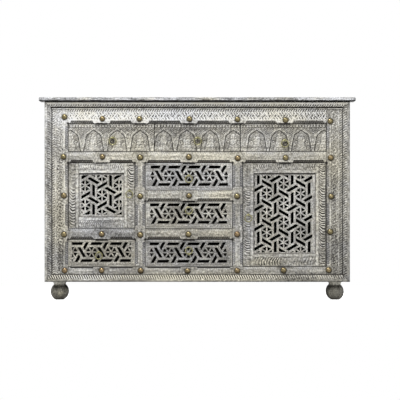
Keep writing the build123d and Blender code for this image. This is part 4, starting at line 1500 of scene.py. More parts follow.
STRIP_CUTS = {
    "moulding_top": StripCuts(
        streak=(3.5 * MM, 13 * MM),
        rub=1.0,
        rope=(14 * MM, 23.5 * MM),
        dark=0.55,
        light=0.25,
        quirk=(24.5 * MM, 30 * MM),
        quirk_shade=1.2,
        cove=4.4 * MM,
    ),
    "moulding_bottom": StripCuts(
        rub=0.0,
        rope=(14.5 * MM, 30 * MM),
        pitch=10.4 * MM,
        curve=0.0,
        dark=0.62,
        light=0.54,
        quirk_shade=0.15,
        rim=0.3,
        wane=0.9,
    ),
    "moulding_left": StripCuts(dark=0.21),
    "moulding_right": StripCuts(rub=0.1, dark=0.25, light=0.13),
}
MOULDING_FINISHES = {
    "moulding_top": LimedWood("lime_moulding_top", cover=0.13, warmth=0.2),
    "moulding_bottom": LimedWood("lime_moulding_bottom", cover=-0.02, warmth=0.5),
    "moulding_left": upright_lime("lime_moulding_left", cover=-0.05, warmth=-0.1),
    "moulding_right": upright_lime("lime_moulding_right", cover=-0.04, warmth=0.0),
}


# ---------------------------------------------------------------- top drawers
@dataclass
class ArchedFront:
    """A top drawer's front: a row of pointed arches under a border of lozenges."""

    cell: float = 1.25 * MM
    base: float = 662 * MM
    height: float = 88 * MM
    half_width: float = 43 * MM
    taper: float = 0.36
    pitch_of_roof: float = 1.35
    slope_of_leg: float = 0.25
    blend: float = 3 * MM
    border: float = 17 * MM
    ledge: float = 70 * MM
    bowl: float = 24 * MM
    scroll_reach: float = 10 * MM
    # how high each tier of the shrine starts, and its half width there
    tiers: tuple[tuple[float, float], ...] = (
        (2 * MM, 25 * MM),
        (13 * MM, 20 * MM),
        (24 * MM, 15 * MM),
        (37 * MM, 16 * MM),
        (50 * MM, 14 * MM),
        (62 * MM, 9 * MM),
        (72 * MM, 1 * MM),
    )

    def arch_edge(self, z: Array) -> tuple[Array, Array]:
        """Half width of an arch at a height, and how steeply it changes there."""
        rise = np.clip(z - self.base, 0, self.height)
        leg = self.half_width * (1 - self.taper * rise / self.height)
        roof = self.pitch_of_roof * (self.height - rise)
        width = -self.blend * np.log(np.exp(-leg / self.blend) + np.exp(-roof / self.blend))
        on_roof = 1 / (1 + np.exp((roof - leg) / self.blend))
        return width, -on_roof * self.pitch_of_roof - self.slope_of_leg

    def arch_distance(self, u: Array, z: Array) -> Array:
        """Rough distance outside an arch's outline, less than 0 inside it."""
        width, change = self.arch_edge(z)
        level = (np.abs(u) - width) / np.sqrt(1 + change**2)
        above = z - (self.base + self.height)
        return np.where(above > 0, np.hypot(u, above), level)

    def shrine(self, face: Face, u: Array, z: Array, inside: Array) -> None:
        """The tiered shrine inside an arch."""
        height = z - self.base
        width = np.zeros_like(z)
        lines = np.zeros_like(z)
        for (low, wide), (high, _) in zip(self.tiers, self.tiers[1:]):
            here = (height >= low) & (height < high)
            taper = 1 - 0.25 * (height - low) / (high - low)
            width = np.where(here, wide * taper, width)
            lines = np.maximum(lines, ridge(height - high + 0.6 * MM, 2.0 * MM))
        body = smooth(-0.6 * MM, 0.8 * MM, width - np.abs(u))
        face.cut(body * inside, depth=-1.0 * MM, tone=-0.14)
        rim = ridge(width - np.abs(u) + 1.6 * MM, 2.2 * MM) * (width > 0)
        face.cut(rim * inside, depth=0.8 * MM, tone=0.18)
        face.cut(body * lines * inside, depth=0.9 * MM, tone=0.26)
        beads = wave(u / (9.0 * MM)) * body * (1 - lines)
        face.cut(beads * inside, depth=0.3 * MM, tone=-0.12)

    def cups(self, face: Face, gap: Array, z: Array, distance: Array, mask: Array) -> None:
        """The cup between two arches, on its foot, with leaves above its ledge.

        Args:
            face: The face to carve.
            gap: Distance from the line midway between the arches.
            z: Up.
            distance: Distance outside the nearer arch.
            mask: 1 outside the arches.
        """
        height = z - self.base
        arms = ridge(distance - 5.5 * MM, 2.6 * MM) * band(height, self.bowl, 52 * MM, 3 * MM)
        cup = ridge(np.hypot(gap, height - self.bowl) - 9.5 * MM, 2.6 * MM) * (height < self.bowl)
        dot = ridge(np.hypot(gap, height - 46 * MM), 4.4 * MM)
        face.cut(mask, depth=0.8 * MM, tone=0.08)
        face.cut(mask * np.maximum(np.maximum(arms, cup), dot), depth=-0.8 * MM, tone=-0.34)
        ledge = ridge(height - self.ledge + 4 * MM, 2.0 * MM)
        face.cut(mask * ledge, depth=1.0 * MM, tone=0.22)
        above = mask * smooth(self.ledge - 2 * MM, self.ledge, height)
        sprig = smooth(0.4, 0.8, wave((gap + 1.2 * height) / (10 * MM)))
        face.cut(above * sprig, depth=1.2 * MM, tone=0.30)
        foot = fall(3 * MM, 5 * MM, height) * fall(8 * MM, 11 * MM, gap)
        face.cut(foot * mask, depth=-0.5 * MM, tone=-0.24)

    def scroll(self, face: Face, u: Array, v: Array, hand: int, mask: Array) -> None:
        """A round scroll about the point where u and v are 0, turned one way or the other."""
        radius = np.hypot(u, v)
        angle = np.arctan2(v, u * hand)
        curl = smooth(0.3, 0.75, wave(radius / (10 * MM) - angle / TURN))
        here = fall(self.scroll_reach - 1 * MM, self.scroll_reach + 1 * MM, radius) * mask
        face.cut(here * (1 - curl), depth=1.2 * MM, tone=0.22)
        face.cut(here * curl, depth=0.0, tone=-0.14)

    def carve(
        self, face: Face, rect: Rect, centres: tuple[float, ...], pull: tuple[float, float]
    ) -> None:
        """Carves the whole front.

        Args:
            face: The face to carve.
            rect: The front's rectangle.
            centres: X of every arch that reaches into it.
            pull: Where its ring hangs.
        """
        x = face.x + 0.5 * MM * Ripple(31, 30 * MM).at(face.x, face.z)
        z = face.z + 0.5 * MM * Ripple(32, 34 * MM).at(face.x, face.z)
        face.depth += 0.2 * MM * (1 + Ripple(33, 40 * MM).at(x, z) / 3)
        face.relief += 0.07 * Ripple(34, 13 * MM).at(x, z) + 0.17 * Ripple(35, 7.5 * MM).at(x, z)
        row = np.array(centres)
        nearest = row[np.argmin(np.abs(x[:, None] - row[None, :]), axis=1)]
        u = x - nearest
        distance = self.arch_distance(u, z)
        top = rect.z.high - self.border
        below = fall(top - 1 * MM, top, face.z)
        inside = fall(-2.5 * MM, -1.0 * MM, distance) * below
        face.cut(inside, depth=1.2 * MM, tone=0.10)
        self.shrine(face, u, z, inside)
        for side in (-1, 1):
            self.scroll(face, u - side * 25 * MM, z - self.base - 34 * MM, side, inside)
        pitch = (row[-1] - row[0]) / (len(row) - 1)
        gap = np.abs(np.abs(u) - pitch / 2)
        self.cups(face, gap, z, distance, smooth(2.5 * MM, 3.5 * MM, distance) * below)
        face.cut(ridge(distance, 2.8 * MM) * below, depth=2.6 * MM, tone=0.80)
        roof = smooth(self.ledge - 16 * MM, self.ledge - 6 * MM, z - self.base)
        eaves = ridge(distance - 6.4 * MM, 2.8 * MM) * below * roof
        face.cut(eaves, depth=-0.6 * MM, tone=-0.34)
        self.carve_border(face, rect, x)
        self.carve_edges(face, rect)
        # a dark disc where the ring hangs, painted shadow of the ring with dirt from handling, and
        # warmer wood round it from handling
        ring = np.hypot(face.x - pull[0], face.z - pull[1])
        face.darken(0.75 * fall(9 * MM, 14 * MM, ring))
        face.tint += 1.2 * fall(16 * MM, 34 * MM, ring)

    @staticmethod
    def carve_border(face: Face, rect: Rect, x: Array) -> None:
        """Lozenges between two lines along the front's upper edge."""
        down = rect.z.high - face.z
        middle = 9.5 * MM
        lozenge = smooth(0.9, 1.5, wave(x / (13 * MM)) + wave((down - middle) / (12 * MM)))
        mask = band(down, 4 * MM, 15 * MM, 0.6 * MM)
        face.cut(mask * (1 - lozenge), depth=1.4 * MM, tone=0.36)
        face.cut(mask * lozenge, depth=0.0, tone=-0.16)
        for place in (3.2 * MM, 16 * MM):
            face.cut(ridge(down - place, 1.3 * MM), depth=0.9 * MM, tone=0.34)

    @staticmethod
    def carve_edges(face: Face, rect: Rect) -> None:
        """Rounds the front's arrises, rubs them, darkens the joint at its edge, and paints the
        shadow under the stud bumps.
        """
        edge = -rect.outside(face.x, face.z)
        face.depth += rounded(edge, 2 * MM)
        face.rub(0.8 * ridge(edge - 1.4 * MM, 1.8 * MM))
        face.darken(fall(0.4 * MM, 1.8 * MM, edge))
        shade_under_bumps(face, rect)


def under_bumps(x: Array) -> Array:
    """1 across the width of the frame's stud bumps."""
    far = np.min([np.abs(x - column) for column in CaseSizes.columns()], axis=0)
    return fall(BUMP_SHADE - 3 * MM, BUMP_SHADE, far)


def shade_under_bumps(face: Face, rect: Rect) -> None:
    """Painted shadow on a front's upper edge, right under the frame's stud bumps."""
    down = fall(1.6 * MM, 3.0 * MM, rect.z.high - face.z)
    face.darken(1.6 * under_bumps(face.x) * down)


# half width of the painted shadow under a stud bump
BUMP_SHADE = 27 * MM


@dataclass
class TopDrawers:
    """The three carved drawers under the top."""

    front: ArchedFront = field(default_factory=ArchedFront)
    # X of each drawer's arches, in millimetres
    arches: tuple[tuple[float, ...], ...] = (
        (-560, -458, -354, -252.6),
        (-148.7, -46.6, 57.2, 159.4),
        (263, 362, 460, 561),
    )
    ring_drop: float = 15.25 * MM

    def build(self) -> list[bpy.types.Object]:
        """Carves the three fronts."""
        made = []
        for name, places in zip(TOP_DRAWERS, self.arches):
            node = f"{name}_front"
            rect = node_rect(node)
            centres = tuple(place * MM for place in places)
            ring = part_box(f"{name}_pull_ring")
            pull = ((ring[0].x + ring[1].x) / 2, ring[0].z + self.ring_drop)
            slab = CarvedSlab(f"{name}_arches", rect, node_depth(node), self.front.cell)
            piece = slab.build(
                lambda face, r=rect, c=centres, p=pull: self.front.carve(face, r, c, p)
            )
            made.append(fit(piece, TOP_FINISHES[name], "limed_carved_wood", name, node))
        return made


TOP_FINISHES = {
    "top_left_drawer": LimedWood("lime_arches_left", cover=0.06, warmth=0.3, coarse=0.7),
    "top_middle_drawer": LimedWood("lime_arches_middle", cover=0.0, warmth=0.2, coarse=0.7),
    "top_right_drawer": LimedWood("lime_arches_right", cover=0.03, warmth=0.2, coarse=0.7),
}


# ---------------------------------------------------------------- pierced pieces
@dataclass
class PiercedBoard:
    """A pierced board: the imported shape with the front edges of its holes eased."""

    node: str
    body: str
    name: str
    finish: LimedWood
    ease: float = 2.4 * MM

    def build(self) -> bpy.types.Object:
        """Makes the board from a merged copy of its node."""
        bm = merged_copy(self.node, 0.002 * MM)
        flat = math.radians(0.5)
        bmesh.ops.dissolve_limit(bm, angle_limit=flat, verts=bm.verts, edges=bm.edges)
        face_y = min(v.co.y for v in bm.verts)
        rims = [edge for edge in bm.edges if self.is_rim(edge, face_y)]
        bmesh.ops.bevel(
            bm,
            geom=rims,
            offset=self.ease,
            offset_type="OFFSET",
            affect="EDGES",
            segments=2,
            profile=0.5,
            material=-1,
            clamp_overlap=True,
        )
        piece = finish_object(self.name, bm, flat=True)
        self.mark_faces(piece.data, face_y)
        finish = replace(self.finish, shades=self.shades())
        return fit(piece, finish, "limed_pierced_wood", self.body, self.node)

    def shades(self) -> tuple[Shade, ...]:
        """Painted shadow under what overhangs the board: a door's frame, or the stud bump above it.
        """
        low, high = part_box(self.node)
        front, back = low.y - 1 * MM, low.y + 4 * MM
        if self.body not in DOORS:
            column = (low.x + high.x) / 2
            corner = (column - BUMP_SHADE, front, high.z - 3.6 * MM)
            return (Shade(corner, (column + BUMP_SHADE, back, high.z + 1 * MM), 1.5),)
        lap, lintel, side = 5.5 * MM, 5 * MM, 3.2 * MM
        top = high.z - lap - lintel
        corner = (low.x + lap + side, front, low.z + lap + side)
        return (
            Shade((low.x, front, top), (high.x, back, high.z), 1.5),
            Shade(corner, (high.x - lap - side, back, high.z), 0.42, inside=False),
        )

    @staticmethod
    def is_rim(edge: bmesh.types.BMEdge, face_y: float) -> bool:
        """True for an edge between the front face and a hole's wall."""
        if len(edge.link_faces) != 2 or max(abs(v.co.y - face_y) for v in edge.verts) > NEAR:
            return False
        wall, front = sorted(abs(f.normal.y) for f in edge.link_faces)
        return wall < 0.2 and front > 0.9

    @staticmethod
    def mark_faces(mesh: bpy.types.Mesh, face_y: float) -> None:
        """Marks the eased edges pale, the holes' walls black with painted shade, and the back half
        darker.
        """
        facing = np.array([abs(p.normal.y) for p in mesh.polygons])
        middle = np.array([p.center.y for p in mesh.polygons])
        front = middle < face_y + 3 * MM
        wall = facing <= 0.6
        eased = front & ~wall & (facing < 0.985)
        mark(
            mesh,
            "FACE",
            relief=np.where(wall, 0.0, np.where(eased, 1.5, 0.66)),
            wear=np.where(eased, 0.6, 0.0),
            # painted shade on the holes' walls
            stain=np.where(wall, 2.0, np.where(front, 0.0, 0.6)),
        )


PIERCED_LIME = LimedWood("lime_pierced", pale=(0.92, 0.915, 0.90), mid=(0.238, 0.233, 0.225))
PIERCED_FINISHES = {
    body: replace(PIERCED_LIME, name=name, cover=cover, warmth=warmth, grain=grain)
    for body, name, cover, warmth, grain in (
        ("centre_upper_drawer", "lime_pierced_upper", -0.02, -0.45, Grain.ALONG_X),
        ("centre_middle_drawer", "lime_pierced_middle", -0.05, 0.2, Grain.ALONG_X),
        ("centre_lower_drawer", "lime_pierced_lower", -0.12, -0.1, Grain.ALONG_X),
        ("left_drawer", "lime_pierced_left", -0.05, 0.5, Grain.ALONG_X),
        ("left_door", "lime_panel_left", 0.0, 0.0, Grain.ALONG_Z),
        ("right_door", "lime_panel_right", 0.0, 0.15, Grain.ALONG_Z),
    )
}


# ---------------------------------------------------------------- doors
@dataclass
class DoorFrame:
    """A door's stiles and rails: gouged leaves inside a plain margin, and a bead."""

    door: str
    hinge_side: int
    panel_lap: float = 5.5 * MM
    bead: float = 16 * MM
    margin: float = 4 * MM
    cell: float = 1.3 * MM
    half_round: float = 8.95 * MM

    def members(self) -> list[tuple[str, Rect]]:
        """Name and rectangle of each member."""
        outer = node_rect(f"{self.door}_frame")
        panel = node_rect(f"{self.door}_panel").shrunk(self.panel_lap)
        return [
            (f"{self.door}_stile_a", Rect(Span(outer.x.low, panel.x.low), outer.z)),
            (f"{self.door}_stile_b", Rect(Span(panel.x.high, outer.x.high), outer.z)),
            (f"{self.door}_rail_low", Rect(panel.x, Span(outer.z.low, panel.z.low))),
            (f"{self.door}_rail_high", Rect(panel.x, Span(panel.z.high, outer.z.high))),
        ]

    def carve(self, face: Face, gouges: "Gouges") -> None:
        """Carves one member: margin, gouged band, bead and arrises."""
        outer = node_rect(f"{self.door}_frame")
        panel = node_rect(f"{self.door}_panel").shrunk(self.panel_lap)
        face.plane(0.2 * MM, Ripple(41, 40 * MM))
        face.relief += 0.10 * Ripple(42, 14 * MM).at(face.x, face.z)
        in_x, in_z = panel.x.outside(face.x), panel.z.outside(face.z)
        level = in_x <= 0
        out = np.where(level, in_z, in_x)
        along = np.where(level, face.x, face.z)
        edge = -outer.outside(face.x, face.z)
        first = self.bead + 1.5 * MM
        wide = out + edge - self.margin - first
        share = np.clip((out - first) / np.maximum(wide, 1 * MM), 0, 1)
        warp = 0.16 * Ripple(43, 40 * MM).at(face.x, face.z)
        bow = gouges.bow * np.sin(math.pi * share)
        phase = along / gouges.pitch + gouges.lean * share + bow + warp
        mask = smooth(first, first + 1.2 * MM, out)
        mask *= smooth(self.margin, self.margin + 1.5 * MM, edge)
        start = np.where(level, outer.x.low, outer.z.low)
        part = (along - start) / np.where(level, outer.x.size, outer.z.size)
        fade = 0.8 + 0.5 * Ripple(44, 90 * MM).at(face.x, face.z)
        mask *= gouges.strength * np.clip(fade, 0.3, 1.3) * (0.35 + 0.65 * gouges.loudness(part))
        gouge = smooth(0.25, 0.80, wave(phase))
        face.cut(mask * (1 - gouge), depth=2.2 * MM, tone=0.58)
        face.cut(mask * gouge, depth=0.0, tone=-0.42)
        face.cut(ridge(out - self.bead - 0.5 * MM, 1.6 * MM), depth=1.0 * MM, tone=0.30)
        face.rub(0.42 * ridge(out - 8 * MM, 9 * MM))
        # a dark line round the panel, with painted shadow under the upper rail where it is darkest
        lintel = np.where(level & (face.z > panel.z.middle), 1.0, 0.5)
        face.darken(lintel * fall(0.8 * MM, 2.0 * MM, out))
        face.depth += rounded(out, 1.5 * MM)
        self.round_edges(face, outer, edge)

    def round_edges(self, face: Face, outer: Rect, edge: Array) -> None:
        """Rounds the outer arrises, by half the thickness on the hinge side, darkens the outer
        joint, and paints the shadow under the stud bumps.
        """
        soft = rounded(edge, 1.8 * MM)
        from_hinge = outer.x.high - face.x if self.hinge_side > 0 else face.x - outer.x.low
        turned = np.maximum(rounded(from_hinge, self.half_round), soft)
        face.depth = np.where(from_hinge < self.half_round, turned, face.depth + soft)
        face.darken(fall(0, 0.9 * MM, edge))
        face.rub(0.6 * ridge(edge - 1.6 * MM, 1.6 * MM))
        shade_under_bumps(face, outer)

    def build(self) -> list[bpy.types.Object]:
        """Carves the four members."""
        made = []
        node = f"{self.door}_frame"
        for name, rect in self.members():
            finish = DOOR_FINISHES[(self.door, "stile" in name)]
            slab = CarvedSlab(name, rect, node_depth(node), self.cell)
            piece = slab.build(lambda face, g=DOOR_GOUGES[name]: self.carve(face, g))
            made.append(fit(piece, finish, "limed_carved_wood", self.door, node))
        return made


@dataclass(frozen=True)
class Gouges:
    """A row of curved gouge cuts across one door member, loud on part of its length."""

    pitch: float
    strength: float
    lean: float = 1.1
    bow: float = 0.5
    loud: tuple[float, float] = (-1.0, 2.0)
    soft: float = 0.05

    def loudness(self, part: Array) -> Array:
        """1 where the cuts are deep, 0 where they are faint.

        Args:
            part: Place along the member, from 0 to 1.

        Returns:
            The loudness at each point.
        """
        return band(part, *self.loud, self.soft)


DOOR_GOUGES = {
    "left_door_stile_a": Gouges(13.0 * MM, 0.75, -0.7, loud=(-1.0, 0.55)),
    "left_door_stile_b": Gouges(12.0 * MM, 0.75, 1.0, loud=(0.5, 2.0)),
    "left_door_rail_low": Gouges(9.6 * MM, 0.3, 0.8),
    "left_door_rail_high": Gouges(9.6 * MM, 0.4, 0.3),
    "right_door_stile_a": Gouges(10.6 * MM, 0.65, -0.9, loud=(0.1, 0.7)),
    "right_door_stile_b": Gouges(11.0 * MM, 0.85, 1.0),
    "right_door_rail_low": Gouges(12.0 * MM, 0.6, 0.7, loud=(0.1, 0.42)),
    "right_door_rail_high": Gouges(9.6 * MM, 0.45, 0.4),
}
DOOR_FINISHES = {
    ("left_door", True): upright_lime("lime_left_door_stiles", cover=-0.03, warmth=0.1),
    ("left_door", False): LimedWood("lime_left_door_rails", cover=0.05, warmth=-0.1),
    ("right_door", True): upright_lime("lime_right_door_stiles", cover=-0.09, warmth=0.15),
    ("right_door", False): LimedWood("lime_right_door_rails", cover=-0.06, warmth=0.1),
}


# ---------------------------------------------------------------- brass
@dataclass
class Studs:
    """Domed brass studs, each set by hand: a little tilted and unevenly beaten."""

    radius: float = 13.6 * MM
    rise: float = 7.8 * MM
    flange: float = 1.1 * MM
    step: float = 1.0 * MM
    rings: int = 7
    sides: int = 28
    seed: int = 3
    tilt: float = 1.5
    coppery: float = 300 * MM

    def profile(self) -> list[tuple[float, float]]:
        """Radius and rise of the dome's section, from its foot to its tip."""
        dome = self.radius - self.flange
        over = self.rise - self.step
        foot = [(self.radius, 0.0), (self.radius, 0.6 * MM), (dome, self.step)]
        turns = [k / self.rings * math.pi / 2 for k in range(1, self.rings)]
        return [*foot, *((dome * math.cos(t), self.step + over * math.sin(t)) for t in turns)]

    def one(
        self, bm: bmesh.types.BMesh, place: Vector, tilt: Matrix, size: float
    ) -> list[bmesh.types.BMVert]:
        """Adds one stud.

        Args:
            bm: The mesh of all the studs.
            place: Where its foot's middle lies.
            tilt: How it leans.
            size: Its size as a share of a full stud's.

        Returns:
            Its points.
        """
        profile = self.profile()
        section = [bm.verts.new((r * size, -h * size, 0)) for r, h in profile]
        edges = [bm.edges.new(pair) for pair in zip(section, section[1:])]
        bmesh.ops.spin(
            bm,
            geom=[*section, *edges],
            cent=(0, 0, 0),
            axis=(0, 1, 0),
            angle=TURN,
            steps=self.sides,
            use_merge=True,
        )
        new = [v for v in bm.verts if not v.tag]
        rims = [e for e in bm.edges if e.is_boundary and all(not v.tag for v in e.verts)]
        tip_y = -profile[-1][1] * size
        for level in (tip_y, 0.0):
            loop = [e for e in rims if all(abs(v.co.y - level) < HAIR for v in e.verts)]
            bmesh.ops.edgeloop_fill(bm, edges=loop)
        for vert in new:
            vert.co = tilt @ vert.co + place
            vert.tag = True
        return new

    def build(self) -> bpy.types.Object:
        """Makes all the studs as one piece."""
        bm = bmesh.new()
        draw = np.random.default_rng(self.seed)
        grime: list[float] = []
        copper: list[float] = []
        for x, z in CaseSizes.studs:
            lean = Matrix.Rotation(math.radians(draw.normal(0, self.tilt)), 3, "X")
            lean @= Matrix.Rotation(math.radians(draw.normal(0, self.tilt)), 3, "Z")
            shade = draw.uniform(-0.1, 0.25)
            size = draw.uniform(0.95, 1.0)
            red = draw.uniform(-0.4, 0.5) + 0.4 * (z < self.coppery)
            place = Vector((x, CaseSizes.face_y + 0.2 * MM, z))
            for vert in self.one(bm, place, lean, size):
                # patina round the foot of each dome, each stud's own tarnish, and painted shade:
                # each dome darker towards its bottom
                out = math.hypot(vert.co.x - x, vert.co.z - z) / self.radius
                low = (z - vert.co.z) / self.radius
                grime.append(shade + 0.9 * max(0.0, out - 0.72) / 0.28 + 0.75 * low)
                copper.append(min(1.0, max(0.0, red)))
        bmesh.ops.recalc_face_normals(bm, faces=bm.faces)
        piece = finish_object("brass_studs", bm)
        mark(piece.data, grime=np.array(grime), copper=np.array(copper))
        return fit(piece, STUD_BRASS, "aged_brass", "case", "frame_studs")


# darker than the tarnish alone, as painted shade for the dim surroundings that the domes would
# reflect
STUD_BRASS = AgedMetal(
    "stud_brass",
    bright=(0.205, 0.172, 0.090),
    dull=(0.028, 0.022, 0.010),
    copper=(0.22, 0.150, 0.083),
)
PULL_BRASS = AgedMetal(
    "pull_brass", bright=(0.30, 0.285, 0.152), dull=(0.15, 0.14, 0.072), grime=0.15
)
PIN_STEEL = AgedMetal("pin_steel", bright=(0.45, 0.44, 0.42), dull=(0.10, 0.08, 0.06))


# ---------------------------------------------------------------- top board
@dataclass
class TopBoard:
    """The top: brushed along its length, streaked with old lime, with painted shadow under its
    nose.
    """

    node: str = "top_board"
    pitch: float = 14 * MM
    levels: tuple[float, ...] = (2.2, 4.4, 5.6, 7.5, 9.5, 11.5, 13.5, 15.5)
    nose: tuple[float, float] = (5 * MM, 8 * MM)
    grimed: tuple[float, float] = (4.4 * MM, 5.6 * MM)

    def build(self) -> bpy.types.Object:
        """Makes the board from a cut-up copy of its node."""
        low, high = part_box(self.node)
        bm = merged_copy(self.node, WELD)
        planes = [((x, 0, 0), (1, 0, 0)) for x in grid_lines(Span(low.x, high.x), self.pitch)[1:-1]]
        planes += [((0, 0, low.z + level * MM), (0, 0, 1)) for level in self.levels]
        planes += [((0, low.y + place, 0), (0, 1, 0)) for place in self.nose]
        for place, normal in planes:
            whole = [*bm.verts, *bm.edges, *bm.faces]
            bmesh.ops.bisect_plane(bm, geom=whole, dist=HAIR, plane_co=place, plane_no=normal)
        piece = finish_object("streaked_top_board", bm)
        points = np.array([v.co for v in piece.data.vertices])
        x, z = points[:, 0], points[:, 2] - low.z
        edge = fall(*self.nose, points[:, 1] - low.y)
        streaks = Ripple(81, 80 * MM).at(x, 36 * z) + 0.6 * Ripple(82, 34 * MM).at(x, 30 * z)
        right = x / high.x
        thin, thick = band(right, 0.2, 0.6, 0.1), smooth(0.6, 0.8, right)
        relief = FLAT_RELIEF + edge * (0.03 + 0.28 * streaks - 0.1 * thin + 0.16 * thick)
        # painted shadow along the underside of the nose
        mark(
            piece.data,
            relief=np.clip(relief, 0.0, 1.4),
            stain=2.0 * edge * fall(*self.grimed, z),
            wear=np.zeros(len(points)),
            tint=edge * 0.7 * Ripple(83, 90 * MM).at(x, z),
        )
        finish = LimedWood("lime_top", cover=0.0, warmth=-0.8, coarse=1.4)
        return fit(piece, finish, "limed_plain_wood", "case", self.node)


# ---------------------------------------------------------------- feet
@dataclass
class BunFeet:
    """Turned bun feet: painted light on the belly and the neck, painted shade in the crease at the
    neck and under the ball, and one worn spot.
    """

    node: str = "bun_feet"
    neck_low: float = 60 * MM
    belly: float = 34 * MM
    worn_spot: tuple[float, float] = (-606 * MM, 28 * MM)

    def build(self) -> bpy.types.Object:
        """Makes the feet from a merged copy of their node."""
        bm = merged_copy(self.node, WELD)
        coarse = [e for e in bm.edges if e.calc_length() > 7 * MM]
        bmesh.ops.subdivide_edges(bm, edges=coarse, cuts=2, use_grid_fill=True)
        piece = finish_object("turned_bun_feet", bm)
        points = np.array([v.co for v in piece.data.vertices])
        x, y, z = points[:, 0], points[:, 1], points[:, 2]
        # painted shade in the crease at the neck and under the ball, and painted light on the neck
        # and the belly
        joint = ridge(z - self.neck_low + 2 * MM, 9 * MM)
        neck = smooth(self.neck_low, self.neck_low + 10 * MM, z)
        under = fall(4 * MM, 16 * MM, z)
        belly = ridge(z - self.belly, 26 * MM)
        spot = np.hypot(x - self.worn_spot[0], (z - self.worn_spot[1]) * 1.4)
        worn = fall(6 * MM, 17 * MM, spot) * (y < 0)
        mark(
            piece.data,
            relief=FLAT_RELIEF + 0.16 * belly + 0.5 * neck - 0.1 * under,
            stain=0.6 * joint,
            wear=0.2 * worn,
            tint=1.6 * worn,
        )
        return fit(piece, FOOT_FINISH, "limed_plain_wood", "case", self.node)


FOOT_FINISH = replace(upright_lime("lime_feet", cover=-0.31, warmth=0.3), mid=(0.21, 0.205, 0.185))


# ---------------------------------------------------------------- carried-over nodes
@dataclass
class CarriedNodes:
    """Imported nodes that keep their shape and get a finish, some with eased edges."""

    ease: float = 1.2 * MM
    sharp: float = 40.0

    def dress_node(self, node: str, finish: Finish, eased: bool) -> None:
        """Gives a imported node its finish, and small bevels where asked."""
        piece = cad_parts[node]
        dress(piece, finish)
        if eased:
            weld = piece.modifiers.new("weld", "WELD")
            weld.merge_threshold = WELD
            bevel = piece.modifiers.new("ease", "BEVEL")
            bevel.width = self.ease
            bevel.segments = 2
            bevel.limit_method = "ANGLE"
            bevel.angle_limit = math.radians(self.sharp)

    def build(self) -> None:
        """Dresses every node that no carved piece replaces."""
        for nodes, finish, eased in NODE_FINISHES:
            for node in nodes:
                self.dress_node(node, finish, eased)


# painted shade inside the case: its inner faces go black
INSIDE_SHADE = (Shade(*CaseSizes.inside(), 2.0),)
SIDE_LIME = LimedWood(
    "lime_sides",
    cover=-0.02,
    warmth=0.1,
    grain=Grain.ALONG_Z,
    carved=False,
    gloss=0.08,
    shades=INSIDE_SHADE,
)
BACK_LIME = LimedWood("lime_back", cover=-0.12, carved=False, gloss=0.05, shades=INSIDE_SHADE)
DARK_BOXES = StainedShadedWood("dark_drawer_boxes")
DARK_CASE = StainedShadedWood("dark_case_boards", grain=Grain.ALONG_X)
CASE_BOARDS = (
    "bottom_board",
    "dust_board",
    "left_cupboard_floor",
    "foot_blocks",
    "dividers",
    "runner_and_stop_strips",
    "top_partitions",
)
DRAWERS = (*TOP_DRAWERS, *PIERCED_DRAWERS)
PULL_NODES = tuple(
    f"{name}_{part}" for name in (*DRAWERS, *DOORS) for part in ("pull_eye", "pull_ring")
)
# nodes, their finish, and whether their edges are eased
NODE_FINISHES = (
    (("side_frames", "side_field_panels"), SIDE_LIME, True),
    (("back_panel",), BACK_LIME, True),
    (CASE_BOARDS, DARK_CASE, False),
    (tuple(f"{name}_box" for name in DRAWERS), DARK_BOXES, True),
    (("door_pivot_pins",), PIN_STEEL, False),
    (PULL_NODES, PULL_BRASS, False),
)


# ---------------------------------------------------------------- studio
@dataclass(frozen=True)
class Lamp:
    """A square soft lamp aimed at the middle of the case."""

    name: str
    place: tuple[float, float, float]
    size: float
    power: float
    aim_height: float = 0.5

    def hang(self) -> None:
        """Hangs the lamp."""
        data = bpy.data.lights.new(self.name, "AREA")
        data.shape = "SQUARE"
        data.size = self.size
        data.energy = self.power
        lamp = bpy.data.objects.new(self.name, data)
        lamp.location = self.place
        aim = Vector((0, CaseSizes.face_y, self.aim_height)) - Vector(self.place)
        lamp.rotation_euler = aim.to_track_quat("-Z", "Y").to_euler()
        bpy.context.scene.collection.objects.link(lamp)


LAMPS = (
    Lamp("lamp_above", (-0.8, -2.2, 3.3), size=1.3, power=101.0),
    Lamp("lamp_front", (1.2, -4.2, 1.7), size=2.2, power=38.0),
    Lamp("lamp_back", (0.6, 4.0, 2.2), size=1.8, power=75.0),
    Lamp("lamp_side_-1", (-3.8, 1.3, 1.8), size=1.6, power=34.0),
    Lamp("lamp_side_1", (3.8, 1.3, 1.8), size=1.6, power=34.0),
)


